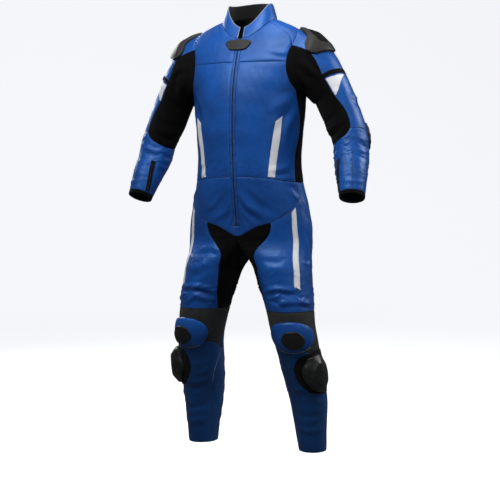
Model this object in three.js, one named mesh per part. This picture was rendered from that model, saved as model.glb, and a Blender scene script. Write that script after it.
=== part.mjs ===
// One-piece leather race suit for motorcycle riding, in the shape that it has when it is worn.
// Millimetres, +Z up, the front faces -Y and the wearer's left is +X.
// Heights in the tables are above the sole of the foot. The origin lies in the neck opening, where the suit hangs
// on the shoulders, so every point is lowered by NECK_HEIGHT at the end.
// Each piece is a wall on one of four surfaces (trunk, leg, arm, collar). A place on a surface is an angle in
// degrees and a level in millimetres. The seams between pieces are short tables of such places, and both pieces at
// a seam use the same points, so they lie SEAM_GAP apart.
import * as THREE from "three";

const NECK_HEIGHT = 1500;
const WALL = 2.2;
const SEAM_GAP = 0.3;
const ZIP_HALF_WIDTH = 10;
const FORK_LEVEL = 840;
const CROTCH_DIP = 52;
const LEG_BLEND_END = 730;
const TRUNK_FRONT_ON_LEG = -40;
const LEG_PER_TRUNK_DEGREE = 260 / 180;
const NECK_LEVEL = 1540;
const CHEST_LEVEL = 1395;
const WAIST_LEVEL = 1012;
const KNEE_TOP = 600;
const KNEE_END = 460;
const HEM_LEVEL = 130;
const ELBOW_REACH = 336;
const CUFF_REACH = 534;
const CUFF_LENGTH = 14;
const ARMHOLE = { angle: 90, level: 1400, halfAngle: 45, halfHeight: 105 };

// Rings round the trunk: the height at the side, front and back, the half width and the two depths.
const TRUNK = [
  { level: 700, front: 700, back: 700, width: 198, depthFront: 92, depthBack: 132 },
  { level: 770, front: 770, back: 770, width: 208, depthFront: 95, depthBack: 140 },
  { level: 840, front: 840, back: 840, width: 212, depthFront: 100, depthBack: 143 },
  { level: 880, front: 882, back: 880, width: 209, depthFront: 106, depthBack: 140 },
  { level: 950, front: 955, back: 950, width: 196, depthFront: 120, depthBack: 128 },
  { level: 1012, front: 1030, back: 1018, width: 182, depthFront: 130, depthBack: 112 },
  { level: 1090, front: 1096, back: 1090, width: 175, depthFront: 134, depthBack: 108 },
  { level: 1170, front: 1170, back: 1170, width: 180, depthFront: 138, depthBack: 112 },
  { level: 1250, front: 1250, back: 1250, width: 188, depthFront: 138, depthBack: 118 },
  { level: 1300, front: 1300, back: 1300, width: 193, depthFront: 134, depthBack: 121 },
  { level: 1350, front: 1350, back: 1350, width: 214, depthFront: 124, depthBack: 122 },
  { level: 1400, front: 1400, back: 1400, width: 227, depthFront: 110, depthBack: 120 },
  { level: 1450, front: 1436, back: 1453, width: 221, depthFront: 96, depthBack: 114 },
  { level: 1485, front: 1454, back: 1492, width: 200, depthFront: 90, depthBack: 104 },
  { level: 1510, front: 1464, back: 1521, width: 158, depthFront: 86, depthBack: 94 },
  { level: 1528, front: 1470, back: 1542, width: 118, depthFront: 83, depthBack: 84 },
  { level: 1540, front: 1474, back: 1556, width: 90, depthFront: 79, depthBack: 76 },
];

// Rings round the left leg: centre, half width, half depth and the angle that the leg is turned out.
const LEG = [
  { level: 850, x: 104, y: 2, width: 108, depth: 112, turn: 0 },
  { level: 790, x: 114, y: -6, width: 98, depth: 108, turn: 1 },
  { level: 730, x: 124, y: -14, width: 91, depth: 102, turn: 4 },
  { level: 670, x: 138, y: -20, width: 84, depth: 96, turn: 9 },
  { level: 635, x: 147, y: -23, width: 80, depth: 92, turn: 12 },
  { level: 600, x: 153, y: -24, width: 76, depth: 89, turn: 15 },
  { level: 560, x: 160, y: -25, width: 73, depth: 84, turn: 16.5 },
  { level: 510, x: 169, y: -21, width: 71, depth: 78, turn: 16.5 },
  { level: 460, x: 176, y: -4, width: 68, depth: 77, turn: 16.5 },
  { level: 400, x: 182, y: 14, width: 66, depth: 79, turn: 16.5 },
  { level: 300, x: 191, y: 46, width: 60, depth: 74, turn: 16.5 },
  { level: 200, x: 197, y: 53, width: 50, depth: 59, turn: 16.5 },
  { level: 130, x: 201, y: 59, width: 44, depth: 51, turn: 16.5 },
];

// Rings round the left arm: the way along it, its outer and inner point seen from the front, and its depth.
const ARM = [
  { reach: 50, outX: 232, outZ: 1478, inX: 201, inZ: 1290, y: 5, depth: 76 },
  { reach: 95, outX: 277, outZ: 1434, inX: 213, inZ: 1277, y: 10, depth: 70 },
  { reach: 140, outX: 311, outZ: 1379, inX: 222, inZ: 1268, y: 14, depth: 65 },
  { reach: 195, outX: 343, outZ: 1310, inX: 230, inZ: 1262, y: 20, depth: 62 },
  { reach: 265, outX: 370, outZ: 1243, inX: 260, inZ: 1197, y: 20, depth: 60 },
  { reach: 336, outX: 396, outZ: 1169, inX: 290, inZ: 1136, y: 13, depth: 57 },
  { reach: 405, outX: 406, outZ: 1099, inX: 302, inZ: 1081, y: -4, depth: 54 },
  { reach: 462, outX: 411, outZ: 1047, inX: 317, inZ: 1033, y: -31, depth: 48 },
  { reach: 550, outX: 415, outZ: 966, inX: 341, inZ: 956, y: -66, depth: 38 },
];

// The stand collar leans in from the neck ring to this top ring.
const COLLAR = { topWidth: 73, topDepth: 64, heightFront: 37, heightSide: 52, heightBack: 48, backShift: 4 };

const radians = THREE.MathUtils.degToRad;
const { lerp } = THREE.MathUtils;

// Smooth curve through a table's rows: cubic pieces with slopes from the neighbouring rows.
function readTable(rows, key, at) {
  let i = rows.findIndex((row, k) => k > 0 && (row[key] - at) * (rows[1][key] - rows[0][key]) >= 0);
  if (i < 0) i = rows.length - 1;
  const left = rows[i - 1];
  const right = rows[i];
  const before = rows[Math.max(i - 2, 0)];
  const after = rows[Math.min(i + 1, rows.length - 1)];
  const span = right[key] - left[key];
  const t = THREE.MathUtils.clamp((at - left[key]) / span, 0, 1);
  const past = at - lerp(left[key], right[key], t);
  const found = {};
  for (const column of Object.keys(left)) {
    const slopeLeft = (right[column] - before[column]) / (right[key] - before[key]);
    const slopeRight = (after[column] - left[column]) / (after[key] - left[key]);
    const ends = left[column] * (2 * t ** 3 - 3 * t ** 2 + 1) + right[column] * (3 * t ** 2 - 2 * t ** 3);
    const slopes = slopeLeft * (t ** 3 - 2 * t ** 2 + t) + slopeRight * (t ** 3 - t ** 2);
    found[column] = ends + slopes * span + past * (t > 0.5 ? slopeRight : slopeLeft);
  }
  return found;
}

const smooth = (t) => t * t * (3 - 2 * t);

// Trunk: an ellipse at each level, with its own depth before and behind, and heights that differ round the ring.
function trunkPoint(angle, level) {
  const ring = readTable(TRUNK, "level", level);
  const s = Math.sin(radians(angle));
  const c = Math.cos(radians(angle));
  const depth = c > 0 ? ring.depthFront : ring.depthBack;
  const height = lerp(ring.level, c > 0 ? ring.front : ring.back, c * c);
  return new THREE.Vector3(ring.width * s, -depth * c, height);
}

// Leg: the trunk's ring above the fork, a turned ellipse below the blend, and a change from one to the other between.
// The inner quarter starts from the crotch line, which dips between the legs.
function legPoint(angle, level) {
  if (level > FORK_LEVEL + 0.001) return trunkPoint((angle - TRUNK_FRONT_ON_LEG) / LEG_PER_TRUNK_DEGREE, level);
  const turned = angle > 220 ? angle - 360 : angle;
  const inside = turned < TRUNK_FRONT_ON_LEG;
  const trunkAngle = (turned - TRUNK_FRONT_ON_LEG) / LEG_PER_TRUNK_DEGREE;
  const across = (turned + 90) / 50;
  const middle = inside ? Math.cos(radians(90 * across)) ** 2 : 0;
  const way = THREE.MathUtils.clamp((FORK_LEVEL - level) / (FORK_LEVEL - LEG_BLEND_END), 0, 1);
  const height = way < 1 ? lerp(FORK_LEVEL - CROTCH_DIP * middle, LEG_BLEND_END, way) : level;
  const ring = readTable(LEG, "level", height);
  const turn = radians(ring.turn);
  const forward = ring.depth * Math.cos(radians(turned));
  const outward = ring.width * Math.sin(radians(turned));
  const x = ring.x + forward * Math.sin(turn) + outward * Math.cos(turn);
  const y = ring.y - forward * Math.cos(turn) + outward * Math.sin(turn);
  if (way === 1) return new THREE.Vector3(x, y, level);
  if (!inside) return trunkPoint(trunkAngle, level).lerp(new THREE.Vector3(x, y, level), smooth(way));
  const trunk = readTable(TRUNK, "level", level);
  const depth = across > 0 ? trunk.depthFront : trunk.depthBack;
  const start = new THREE.Vector3(0, -depth * Math.sin(radians(90 * across)), 0);
  const end = new THREE.Vector3(x, y, 0);
  const point = start.lerp(end, lerp(smooth(way), Math.sin(radians(90 * way)), middle));
  point.z = height;
  return point;
}

// The armhole is an oval on the trunk, with angle 0 at the front, 90 on the shoulder and -90 in the armpit.
function armholePlace(angle) {
  return {
    angle: ARMHOLE.angle - ARMHOLE.halfAngle * Math.cos(radians(angle)),
    level: ARMHOLE.level + ARMHOLE.halfHeight * Math.sin(radians(angle)),
  };
}

// Arm: a tube of ellipses across the arm's own line, which starts from the armhole.
function armRing(angle, reach) {
  const ring = readTable(ARM, "reach", reach);
  const next = readTable(ARM, "reach", reach + 2);
  const last = readTable(ARM, "reach", reach - 2);
  const middle = (row) => new THREE.Vector3((row.outX + row.inX) / 2, row.y, (row.outZ + row.inZ) / 2);
  const along = middle(next).sub(middle(last)).normalize();
  const forward = new THREE.Vector3(0, -1, 0).addScaledVector(along, along.y).normalize();
  const outward = new THREE.Vector3((ring.outX - ring.inX) / 2, 0, (ring.outZ - ring.inZ) / 2);
  return middle(ring)
    .addScaledVector(forward, ring.depth * Math.cos(radians(angle)))
    .addScaledVector(outward, Math.sin(radians(angle)));
}

function armPoint(angle, reach) {
  const start = ARM[0].reach;
  if (reach >= start) return armRing(angle, reach);
  const place = armholePlace(angle);
  return trunkPoint(place.angle, place.level).lerp(armRing(angle, start), Math.max(reach, 0) / start);
}

function collarPoint(angle, level) {
  const base = trunkPoint(angle, NECK_LEVEL);
  const s = Math.sin(radians(angle));
  const c = Math.cos(radians(angle));
  const rise = lerp(COLLAR.heightSide, c > 0 ? COLLAR.heightFront : COLLAR.heightBack, c * c);
  const top = new THREE.Vector3(COLLAR.topWidth * s, COLLAR.backShift - COLLAR.topDepth * c, base.z + rise);
  return base.lerp(top, level);
}

// The outward normal from two small steps on the surface.
function slopeNormal(point, angle, level, step, turn) {
  const across = point(angle + 0.5, level).sub(point(angle - 0.5, level));
  const down = point(angle, level).sub(point(angle, level - step));
  return across.cross(down).multiplyScalar(turn).normalize();
}

// At the neck and the armhole the wall's edge lies halfway between the two surfaces that meet there.
function trunkNormal(angle, level) {
  if (angle > 180) {
    const mirrored = trunkNormal(360 - angle, level);
    return mirrored.setX(-mirrored.x);
  }
  const normal = slopeNormal(trunkPoint, angle, level, 1, 1);
  const point = trunkPoint(angle, level);
  if (level > NECK_LEVEL - 0.01) {
    return normal.add(new THREE.Vector3(point.x, point.y, 0).normalize()).normalize();
  }
  const a = (angle - ARMHOLE.angle) / ARMHOLE.halfAngle;
  const b = (level - ARMHOLE.level) / ARMHOLE.halfHeight;
  if (Math.abs(a * a + b * b - 1) < 1e-6) {
    return normal.add(new THREE.Vector3(0, point.y - 4, point.z - ARMHOLE.level).normalize()).normalize();
  }
  return normal;
}

function legNormal(angle, level) {
  const normal = slopeNormal(legPoint, angle, level, 1, 1);
  const turned = angle > 220 ? angle - 360 : angle;
  if (level > FORK_LEVEL - 0.01 && turned < TRUNK_FRONT_ON_LEG + 0.01) normal.setX(0).normalize();
  return normal;
}

function armNormal(angle, reach) {
  const place = armholePlace(angle);
  if (reach < 0.01) return trunkNormal(place.angle, place.level);
  return slopeNormal(armPoint, angle, reach, -1, 1);
}

function collarNormal(angle, level) {
  if (level < 0.01) return trunkNormal(angle, NECK_LEVEL);
  return slopeNormal(collarPoint, angle, level, 0.02, 1);
}

const SURFACE = {
  trunk: { point: trunkPoint, normal: trunkNormal },
  leg: { point: legPoint, normal: legNormal },
  arm: { point: armPoint, normal: armNormal },
  collar: { point: collarPoint, normal: collarNormal },
};

// A seam is a row of places [angle, level] spread evenly on straight lines between its key places.
function seam(keys, steps) {
  return Array.from({ length: steps + 1 }, (_, i) => {
    const at = (i / steps) * (keys.length - 1);
    const k = Math.min(Math.floor(at), keys.length - 2);
    return [lerp(keys[k][0], keys[k + 1][0], at - k), lerp(keys[k][1], keys[k + 1][1], at - k)];
  });
}

const join = (...seams) => seams.reduce((all, next) => all.concat(next.slice(1)));
const reversed = (line) => line.slice().reverse();
const armholeArc = (from, to, steps) =>
  seam([[from, 0], [to, 0]], steps).map(([angle]) => {
    const place = armholePlace(angle);
    return [place.angle, place.level];
  });
const sleeveStart = (from, to, steps) => seam([[from, 0], [to, 0]], steps);
const onLeg = (line) => line.map(([angle, level]) => [TRUNK_FRONT_ON_LEG + angle * LEG_PER_TRUNK_DEGREE, level]);
const zipAngle = (level) => {
  const { width } = readTable(TRUNK, "level", level);
  return THREE.MathUtils.radToDeg(Math.asin(ZIP_HALF_WIDTH / width));
};
const zipEdge = (from, to, steps) =>
  seam([[0, from], [0, to]], steps).map(([, level]) => [zipAngle(level), level]);

// The places inside a piece come from its four edges: each is the mean of the lines across and down, less the
// mean of the corners.
function placesInside({ top, bottom, left, right }) {
  const columns = top.length - 1;
  const rows = left.length - 1;
  if (bottom.length !== top.length || right.length !== left.length) {
    throw new Error("opposite edges need as many points: " + [top, bottom, left, right].map((e) => e.length));
  }
  return left.map((_, j) =>
    top.map((_, i) => {
      const u = i / columns;
      const v = j / rows;
      return [0, 1].map((k) => {
        const across = lerp(left[j][k], right[j][k], u);
        const down = lerp(top[i][k], bottom[i][k], v);
        const corners = lerp(lerp(top[0][k], top[columns][k], u), lerp(bottom[0][k], bottom[columns][k], u), v);
        return across + down - corners;
      });
    }),
  );
}

// A wall over a grid of places. inner and outer are its distances from the surface, and swell is what it rises in
// its middle. The grid's edges step back by half a seam gap.
function wall(surfaceName, edges, { inner = 0, outer = WALL, swell = () => 0, gap = SEAM_GAP } = {}) {
  const surface = SURFACE[surfaceName];
  const places = placesInside(edges);
  const rows = places.length - 1;
  const columns = places[0].length - 1;
  const points = places.map((line) => line.map(([angle, level]) => surface.point(angle, level)));
  const normals = places.map((line) => line.map(([angle, level]) => surface.normal(angle, level)));
  const inset = (j, i) => {
    const move = new THREE.Vector3();
    const step = (edge, dj, di, inJ, inI) => {
      if (!edge) return;
      const ahead = points[Math.min(j + dj, rows)][Math.min(i + di, columns)];
      const behind = points[Math.max(j - dj, 0)][Math.max(i - di, 0)];
      const side = ahead.clone().sub(behind).cross(normals[j][i]).normalize();
      const inward = points[j + inJ][i + inI].clone().sub(points[j][i]);
      move.addScaledVector(side, side.dot(inward) < 0 ? -gap / 2 : gap / 2);
    };
    step(j === 0, 0, 1, 1, 0);
    step(j === rows, 0, 1, -1, 0);
    step(i === 0, 1, 0, 0, 1);
    step(i === columns, 1, 0, 0, -1);
    return move;
  };
  const positions = [];
  const layer = (distance) => {
    for (let j = 0; j <= rows; j += 1) {
      for (let i = 0; i <= columns; i += 1) {
        const p = points[j][i].clone().add(inset(j, i));
        p.addScaledVector(normals[j][i], distance(i / columns, j / rows));
        positions.push(p.x, p.y, p.z - NECK_HEIGHT);
      }
    }
  };
  layer(() => inner);
  layer((u, v) => outer + swell(u, v));
  const count = (rows + 1) * (columns + 1);
  const at = (j, i, side) => side * count + j * (columns + 1) + i;
  const index = [];
  const corner = (k) => new THREE.Vector3().fromArray(positions, 3 * k);
  // Each square is cut along its shorter diagonal, so that two walls at a seam are cut alike.
  const quad = (a, b, c, d) => {
    const even = corner(a).distanceTo(corner(c)) <= corner(b).distanceTo(corner(d));
    index.push(...(even ? [a, b, c, a, c, d] : [a, b, d, b, c, d]));
  };
  for (let j = 0; j < rows; j += 1) {
    for (let i = 0; i < columns; i += 1) {
      quad(at(j, i, 0), at(j, i + 1, 0), at(j + 1, i + 1, 0), at(j + 1, i, 0));
      quad(at(j, i, 1), at(j + 1, i, 1), at(j + 1, i + 1, 1), at(j, i + 1, 1));
    }
  }
  for (let i = 0; i < columns; i += 1) {
    quad(at(0, i, 0), at(0, i, 1), at(0, i + 1, 1), at(0, i + 1, 0));
    quad(at(rows, i, 0), at(rows, i + 1, 0), at(rows, i + 1, 1), at(rows, i, 1));
  }
  for (let j = 0; j < rows; j += 1) {
    quad(at(j, 0, 0), at(j + 1, 0, 0), at(j + 1, 0, 1), at(j, 0, 1));
    quad(at(j, columns, 0), at(j, columns, 1), at(j + 1, columns, 1), at(j + 1, columns, 0));
  }
  return closedGeometry(positions, index);
}

// Turns a shell so that its faces point out: its signed volume tells which way they point.
function closedGeometry(positions, index) {
  let volume = 0;
  const corner = (k) => new THREE.Vector3().fromArray(positions, 3 * index[k]);
  for (let k = 0; k < index.length; k += 3) {
    volume += corner(k).dot(corner(k + 1).cross(corner(k + 2)));
  }
  const turned = volume < 0 ? reversed(index) : index;
  const geometry = new THREE.BufferGeometry();
  geometry.setAttribute("position", new THREE.Float32BufferAttribute(positions, 3));
  geometry.setIndex(turned);
  geometry.computeVertexNormals();
  return geometry;
}

const finish = (color, roughness) =>
  new THREE.MeshStandardMaterial({ color, roughness, metalness: 0 });
const FINISH = {
  blueLeather: finish(0x1c489b, 0.45),
  whiteLeather: finish(0xd7d7e1, 0.5),
  blackStretch: finish(0x191919, 0.85),
  blackLining: finish(0x101012, 0.95),
  armour: finish(0x2c2a28, 0.35),
  hookLoop: finish(0x141414, 0.95),
  puckPlastic: finish(0x1a1a1b, 0.4),
  zip: finish(0x202022, 0.6),
};

const suit = new THREE.Group();

function addPiece(name, geometry, material) {
  const mesh = new THREE.Mesh(geometry, material);
  mesh.name = name;
  suit.add(mesh);
}

// A pair is the left piece and its mirror image.
function addPair(name, geometry, material) {
  addPiece(name + "_left", geometry, material);
  const positions = Array.from(geometry.attributes.position.array);
  for (let k = 0; k < positions.length; k += 3) positions[k] *= -1;
  addPiece(name + "_right", closedGeometry(positions, Array.from(geometry.index.array)), material);
}

// Angles on the armhole where the trunk's seams arrive.
const HOLE = { sideBack: 242, sideFront: -62, chest: -3, shoulderFront: 30, shoulderBack: 150 };
const SIDE_FRONT_ANGLE = 74;
const SIDE_BACK_ANGLE = 106;
const NECK_FRONT_ANGLE = 68;
const NECK_BACK_ANGLE = 112;

const neckArc = (from, to, steps) => seam([[from, NECK_LEVEL], [to, NECK_LEVEL]], steps);
const waistArc = (from, to, steps) => seam([[from, WAIST_LEVEL], [to, WAIST_LEVEL]], steps);

const holeFront = armholeArc(HOLE.sideFront, HOLE.chest, 4);
const holeYoke = armholeArc(HOLE.chest, HOLE.shoulderFront, 3);
const holeTop = armholeArc(HOLE.shoulderFront, HOLE.shoulderBack, 6);
const holeBack = armholeArc(HOLE.shoulderBack, HOLE.sideBack, 5);
const holeUnder = armholeArc(HOLE.sideBack - 360, HOLE.sideFront, 4);
const zipYoke = zipEdge(NECK_LEVEL, CHEST_LEVEL, 3);
const zipChest = zipEdge(CHEST_LEVEL, WAIST_LEVEL, 10);
const zipPelvis = zipEdge(WAIST_LEVEL, FORK_LEVEL, 4);
const chestSeam = seam([zipYoke.at(-1), holeYoke[0]], 8);
const shoulderFrontSeam = seam([[NECK_FRONT_ANGLE, NECK_LEVEL], [57, 1500], holeTop[0]], 3);
const shoulderBackSeam = seam([[NECK_BACK_ANGLE, NECK_LEVEL], [123, 1500], holeTop.at(-1)], 3);
const sideFrontSeam = seam([holeFront[0], [84, 1190], [77, 1090], [SIDE_FRONT_ANGLE, WAIST_LEVEL]], 6);
const sideBackSeam = seam([holeBack.at(-1), [97, 1190], [103, 1090], [SIDE_BACK_ANGLE, WAIST_LEVEL]], 6);
const waistFront = waistArc(zipChest.at(-1)[0], SIDE_FRONT_ANGLE, 8);
const waistSide = waistArc(SIDE_FRONT_ANGLE, SIDE_BACK_ANGLE, 4);
const waistBack = waistArc(SIDE_BACK_ANGLE, 180, 6);
const onRightBack = (line) => line.map(([angle, level]) => [360 - angle, level]);

function buildTrunk() {
  addPair("chest_yoke", wall("trunk", {
    top: join(neckArc(zipYoke[0][0], NECK_FRONT_ANGLE, 5), shoulderFrontSeam),
    bottom: chestSeam,
    left: zipYoke,
    right: reversed(holeYoke),
  }), FINISH.blueLeather);
  addPair("shoulder_piece", wall("trunk", {
    top: shoulderBackSeam,
    bottom: shoulderFrontSeam,
    left: reversed(neckArc(NECK_FRONT_ANGLE, NECK_BACK_ANGLE, 6)),
    right: reversed(holeTop),
  }), FINISH.blueLeather);
  addPair("chest_front", wall("trunk", {
    top: chestSeam,
    bottom: waistFront,
    left: zipChest,
    right: join(reversed(holeFront), sideFrontSeam),
  }), FINISH.blueLeather);
  addPair("side_panel", wall("trunk", {
    top: reversed(holeUnder),
    bottom: waistSide,
    left: sideFrontSeam,
    right: sideBackSeam,
  }, { gap: 4 * SEAM_GAP }), FINISH.blackStretch);
  const neckBack = neckArc(NECK_BACK_ANGLE, 360 - NECK_BACK_ANGLE, 6);
  addPiece("back", wall("trunk", {
    top: reversed(join(reversed(shoulderBackSeam), neckBack, onRightBack(shoulderBackSeam))),
    bottom: waistArc(360 - SIDE_BACK_ANGLE, SIDE_BACK_ANGLE, 12),
    left: onRightBack(join(holeBack, sideBackSeam)),
    right: join(holeBack, sideBackSeam),
  }), FINISH.blueLeather);
}

// White strips and other pieces that are sewn on top lie a little above the panel that carries them.
const ON_TOP = { inner: WALL + 1.2, outer: WALL + 2.2 };

function buildTorsoTrim() {
  addPair("torso_stripe", wall("trunk", {
    top: seam([[45.5, 1206], [54, 1224]], 2),
    bottom: seam([[36.5, 1018], [45, 1018]], 2),
    left: seam([[45.5, 1206], [43, 1150], [40, 1080], [36.5, 1018]], 9),
    right: seam([[54, 1224], [52.5, 1150], [49, 1080], [45, 1018]], 9),
  }, ON_TOP), FINISH.whiteLeather);
  const zipSeam = join(zipYoke, zipChest, zipPelvis);
  const other = zipSeam.map(([angle, level]) => [-angle, level]);
  addPiece("front_zip", wall("trunk", {
    top: seam([other[0], zipSeam[0]], 2),
    bottom: seam([other.at(-1), zipSeam.at(-1)], 2),
    left: other,
    right: zipSeam,
  }, { outer: WALL + 0.8 }), FINISH.blueLeather);
  addPiece("neck_tab", wall("trunk", {
    top: seam([[-12.5, 1512], [0, 1526], [12.5, 1512]], 6),
    bottom: seam([[-7.5, 1446], [7.5, 1446]], 6),
    left: seam([[-12.5, 1512], [-13.5, 1492], [-7.5, 1446]], 4),
    right: seam([[12.5, 1512], [13.5, 1492], [7.5, 1446]], 4),
  }, { inner: WALL + 1.8, outer: WALL + 4.6 }), FINISH.armour);
}

const COLLAR_NOTCH = zipYoke[0][0];
const LINING_START = 0.1;

function buildCollar() {
  const front = neckArc(COLLAR_NOTCH, NECK_FRONT_ANGLE, 5);
  const half = join(front, neckArc(NECK_FRONT_ANGLE, NECK_BACK_ANGLE, 6));
  const whole = join(half, neckArc(NECK_BACK_ANGLE, 360 - NECK_BACK_ANGLE, 6), reversed(onRightBack(half)));
  const round = (level) => whole.map(([angle]) => [angle, level]);
  const end = (angle, from) => seam([[angle, 1], [angle, from]], 2);
  addPiece("collar", wall("collar", {
    top: round(1),
    bottom: round(0),
    left: end(COLLAR_NOTCH, 0),
    right: end(360 - COLLAR_NOTCH, 0),
  }), FINISH.blueLeather);
  addPiece("collar_lining", wall("collar", {
    top: round(1),
    bottom: round(LINING_START),
    left: end(COLLAR_NOTCH, LINING_START),
    right: end(360 - COLLAR_NOTCH, LINING_START),
  }, { inner: -1.8, outer: -0.3 }), FINISH.blackLining);
}

// Seams of the lower body, as angles round the leg. The crotch piece is of stretch cloth, and its point reaches
// forward to the hip seam.
const CROTCH_POINT = [7, 882];
const KNEE_INNER_ANGLE = -76;
const HIP_END = onLeg([[78, 969]])[0];
const legSideTop = onLeg([[SIDE_FRONT_ANGLE, WAIST_LEVEL]])[0];
const crotchLine = seam([[-140, FORK_LEVEL], [TRUNK_FRONT_ON_LEG, FORK_LEVEL]], 6);
const forkFront = seam([[TRUNK_FRONT_ON_LEG, FORK_LEVEL], onLeg([zipPelvis.at(-1)])[0]], 1);
const forkRise = seam([forkFront.at(-1), [-14, 868], CROTCH_POINT], 2);
const hipSeam = seam([CROTCH_POINT, [42, 920], HIP_END], 6);
const thighInFront = seam([CROTCH_POINT, [6, 864], [1, 838], [-9, 813], [-21, 790], [-31, 765], [-41, 730],
  [-49, 695], [-57, 662], [-66, 631], [KNEE_INNER_ANGLE, KNEE_TOP]], 10);
const thighInBack = seam([[-140, FORK_LEVEL], [-132, 720], [-130, KNEE_TOP]], 10);
const thighSide = seam([HIP_END, [86, 890], [92, 800], [94, 700], [95, KNEE_TOP]], 10);
const hipSide = seam([legSideTop, HIP_END], 2);
const seatMiddle = seam([[220, WAIST_LEVEL], [220, FORK_LEVEL]], 2);
const kneeFront = seam([[KNEE_INNER_ANGLE, KNEE_TOP], [95, KNEE_TOP]], 6);
const kneeBack = seam([[95, KNEE_TOP], [230, KNEE_TOP]], 10);
const kneeInside = seam([[-130, KNEE_TOP], [KNEE_INNER_ANGLE, KNEE_TOP]], 9);
const kneeIn = seam([[-130, KNEE_TOP], [-108, KNEE_END]], 4);
const kneeOut = seam([[95, KNEE_TOP], [95, KNEE_END]], 4);
const kneeBottom = seam([[-108, KNEE_END], [-90, 479], [-68, 488], [-46, 487], [-20, 477], [5, 475], [30, 470],
  [62, 462], [95, KNEE_END]], 15);
const shinIn = seam([[-108, KNEE_END], [-78, 380], [-70, 300], [-70, 215], [-70, HEM_LEVEL]], 5);
const shinOut = seam([[95, KNEE_END], [95, HEM_LEVEL]], 5);
const behind = (line) => line.map(([angle, level]) => [angle < -100 ? angle + 360 : angle, level]);
const onInside = (line) => line.map(([angle, level]) => [angle + 360, level]);

function buildHips() {
  addPair("pelvis_front", wall("leg", {
    top: onLeg(waistFront),
    bottom: join(forkRise, hipSeam),
    left: onLeg(zipPelvis),
    right: seam([legSideTop, HIP_END], 4),
  }), FINISH.blueLeather);
  addPair("seat", wall("leg", {
    top: onLeg(join(waistSide, waistBack)),
    bottom: kneeBack,
    left: join(hipSide, thighSide),
    right: join(seatMiddle, behind(thighInBack)),
  }), FINISH.blueLeather);
  addPair("crotch_stretch", wall("leg", {
    top: join(crotchLine, forkFront, forkRise),
    bottom: kneeInside,
    left: thighInBack,
    right: thighInFront,
  }), FINISH.blackStretch);
  addPair("thigh_front", wall("leg", {
    top: hipSeam,
    bottom: kneeFront,
    left: thighInFront,
    right: thighSide,
  }), FINISH.blueLeather);
}

function buildLowerLeg() {
  addPair("knee_stretch", wall("leg", {
    top: join(kneeInside, kneeFront),
    bottom: kneeBottom,
    left: kneeIn,
    right: kneeOut,
  }), FINISH.blackStretch);
  addPair("shin", wall("leg", {
    top: kneeBottom,
    bottom: seam([[-70, HEM_LEVEL], [95, HEM_LEVEL]], 15),
    left: shinIn,
    right: shinOut,
  }), FINISH.blueLeather);
  addPair("calf", wall("leg", {
    top: kneeBack,
    bottom: seam([[95, HEM_LEVEL], [290, HEM_LEVEL]], 10),
    left: join(kneeOut, shinOut),
    right: onInside(join(kneeIn, shinIn)),
  }), FINISH.blueLeather);
}

// Seams of the sleeve, as angles round the arm and the way along it. The stretch piece lies in front and inside.
const sleeveOutTop = join(sleeveStart(HOLE.shoulderFront, HOLE.shoulderBack, 6),
  sleeveStart(HOLE.shoulderBack, HOLE.sideBack, 5));
const sleeveInTop = join(sleeveStart(HOLE.sideBack - 360, HOLE.sideFront, 4),
  sleeveStart(HOLE.sideFront, HOLE.chest, 4), sleeveStart(HOLE.chest, HOLE.shoulderFront, 3));
const stretchFront = seam([[HOLE.shoulderFront, 0], [31, 32], [28, 64], [20, 96], [16, 130], [17, 190], [32, 255],
  [34, 290], [29, 318]], 8);
const stretchBack = seam([[HOLE.sideBack - 360, 0], [-126, 90], [-128, 180], [-130, 255], [-130, ELBOW_REACH]], 8);
const elbowOut = seam([[29, 318], [80, 326], [140, 336], [230, ELBOW_REACH]], 11);
const elbowIn = seam([[-130, ELBOW_REACH], [-90, 348], [-40, 352], [4, 340], [29, 318]], 11);
const cuffRound = (reach) =>
  join(seam([[-130, reach], [29, reach]], 11), seam([[29, reach], [230, reach]], 11));
const sleeveBackSeam = seam([[230, ELBOW_REACH], [230, CUFF_REACH]], 6);
const underAngle = (line) => line.map(([angle, reach]) => [angle - 360, reach]);

function buildSleeve() {
  addPair("sleeve_outer", wall("arm", {
    top: sleeveOutTop,
    bottom: elbowOut,
    left: stretchFront,
    right: stretchBack.map(([angle, reach]) => [angle + 360, reach]),
  }), FINISH.blueLeather);
  addPair("sleeve_stretch", wall("arm", {
    top: sleeveInTop,
    bottom: elbowIn,
    left: stretchBack,
    right: stretchFront,
  }), FINISH.blackStretch);
  addPair("forearm", wall("arm", {
    top: join(elbowIn, elbowOut),
    bottom: cuffRound(CUFF_REACH),
    left: underAngle(sleeveBackSeam),
    right: sleeveBackSeam,
  }), FINISH.blueLeather);
  addPair("cuff", wall("arm", {
    top: cuffRound(CUFF_REACH),
    bottom: cuffRound(CUFF_REACH + CUFF_LENGTH),
    left: seam([[-130, CUFF_REACH], [-130, CUFF_REACH + CUFF_LENGTH]], 1),
    right: seam([[230, CUFF_REACH], [230, CUFF_REACH + CUFF_LENGTH]], 1),
  }, { outer: WALL + 0.6 }), FINISH.blackStretch);
}

// A dome over a piece with four sides: flat at its rim, with a soft shoulder and a full middle.
const dome = (height, fullness = 0.5) => (u, v) =>
  height * (Math.sin(Math.PI * u) * Math.sin(Math.PI * v)) ** fullness;

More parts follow.
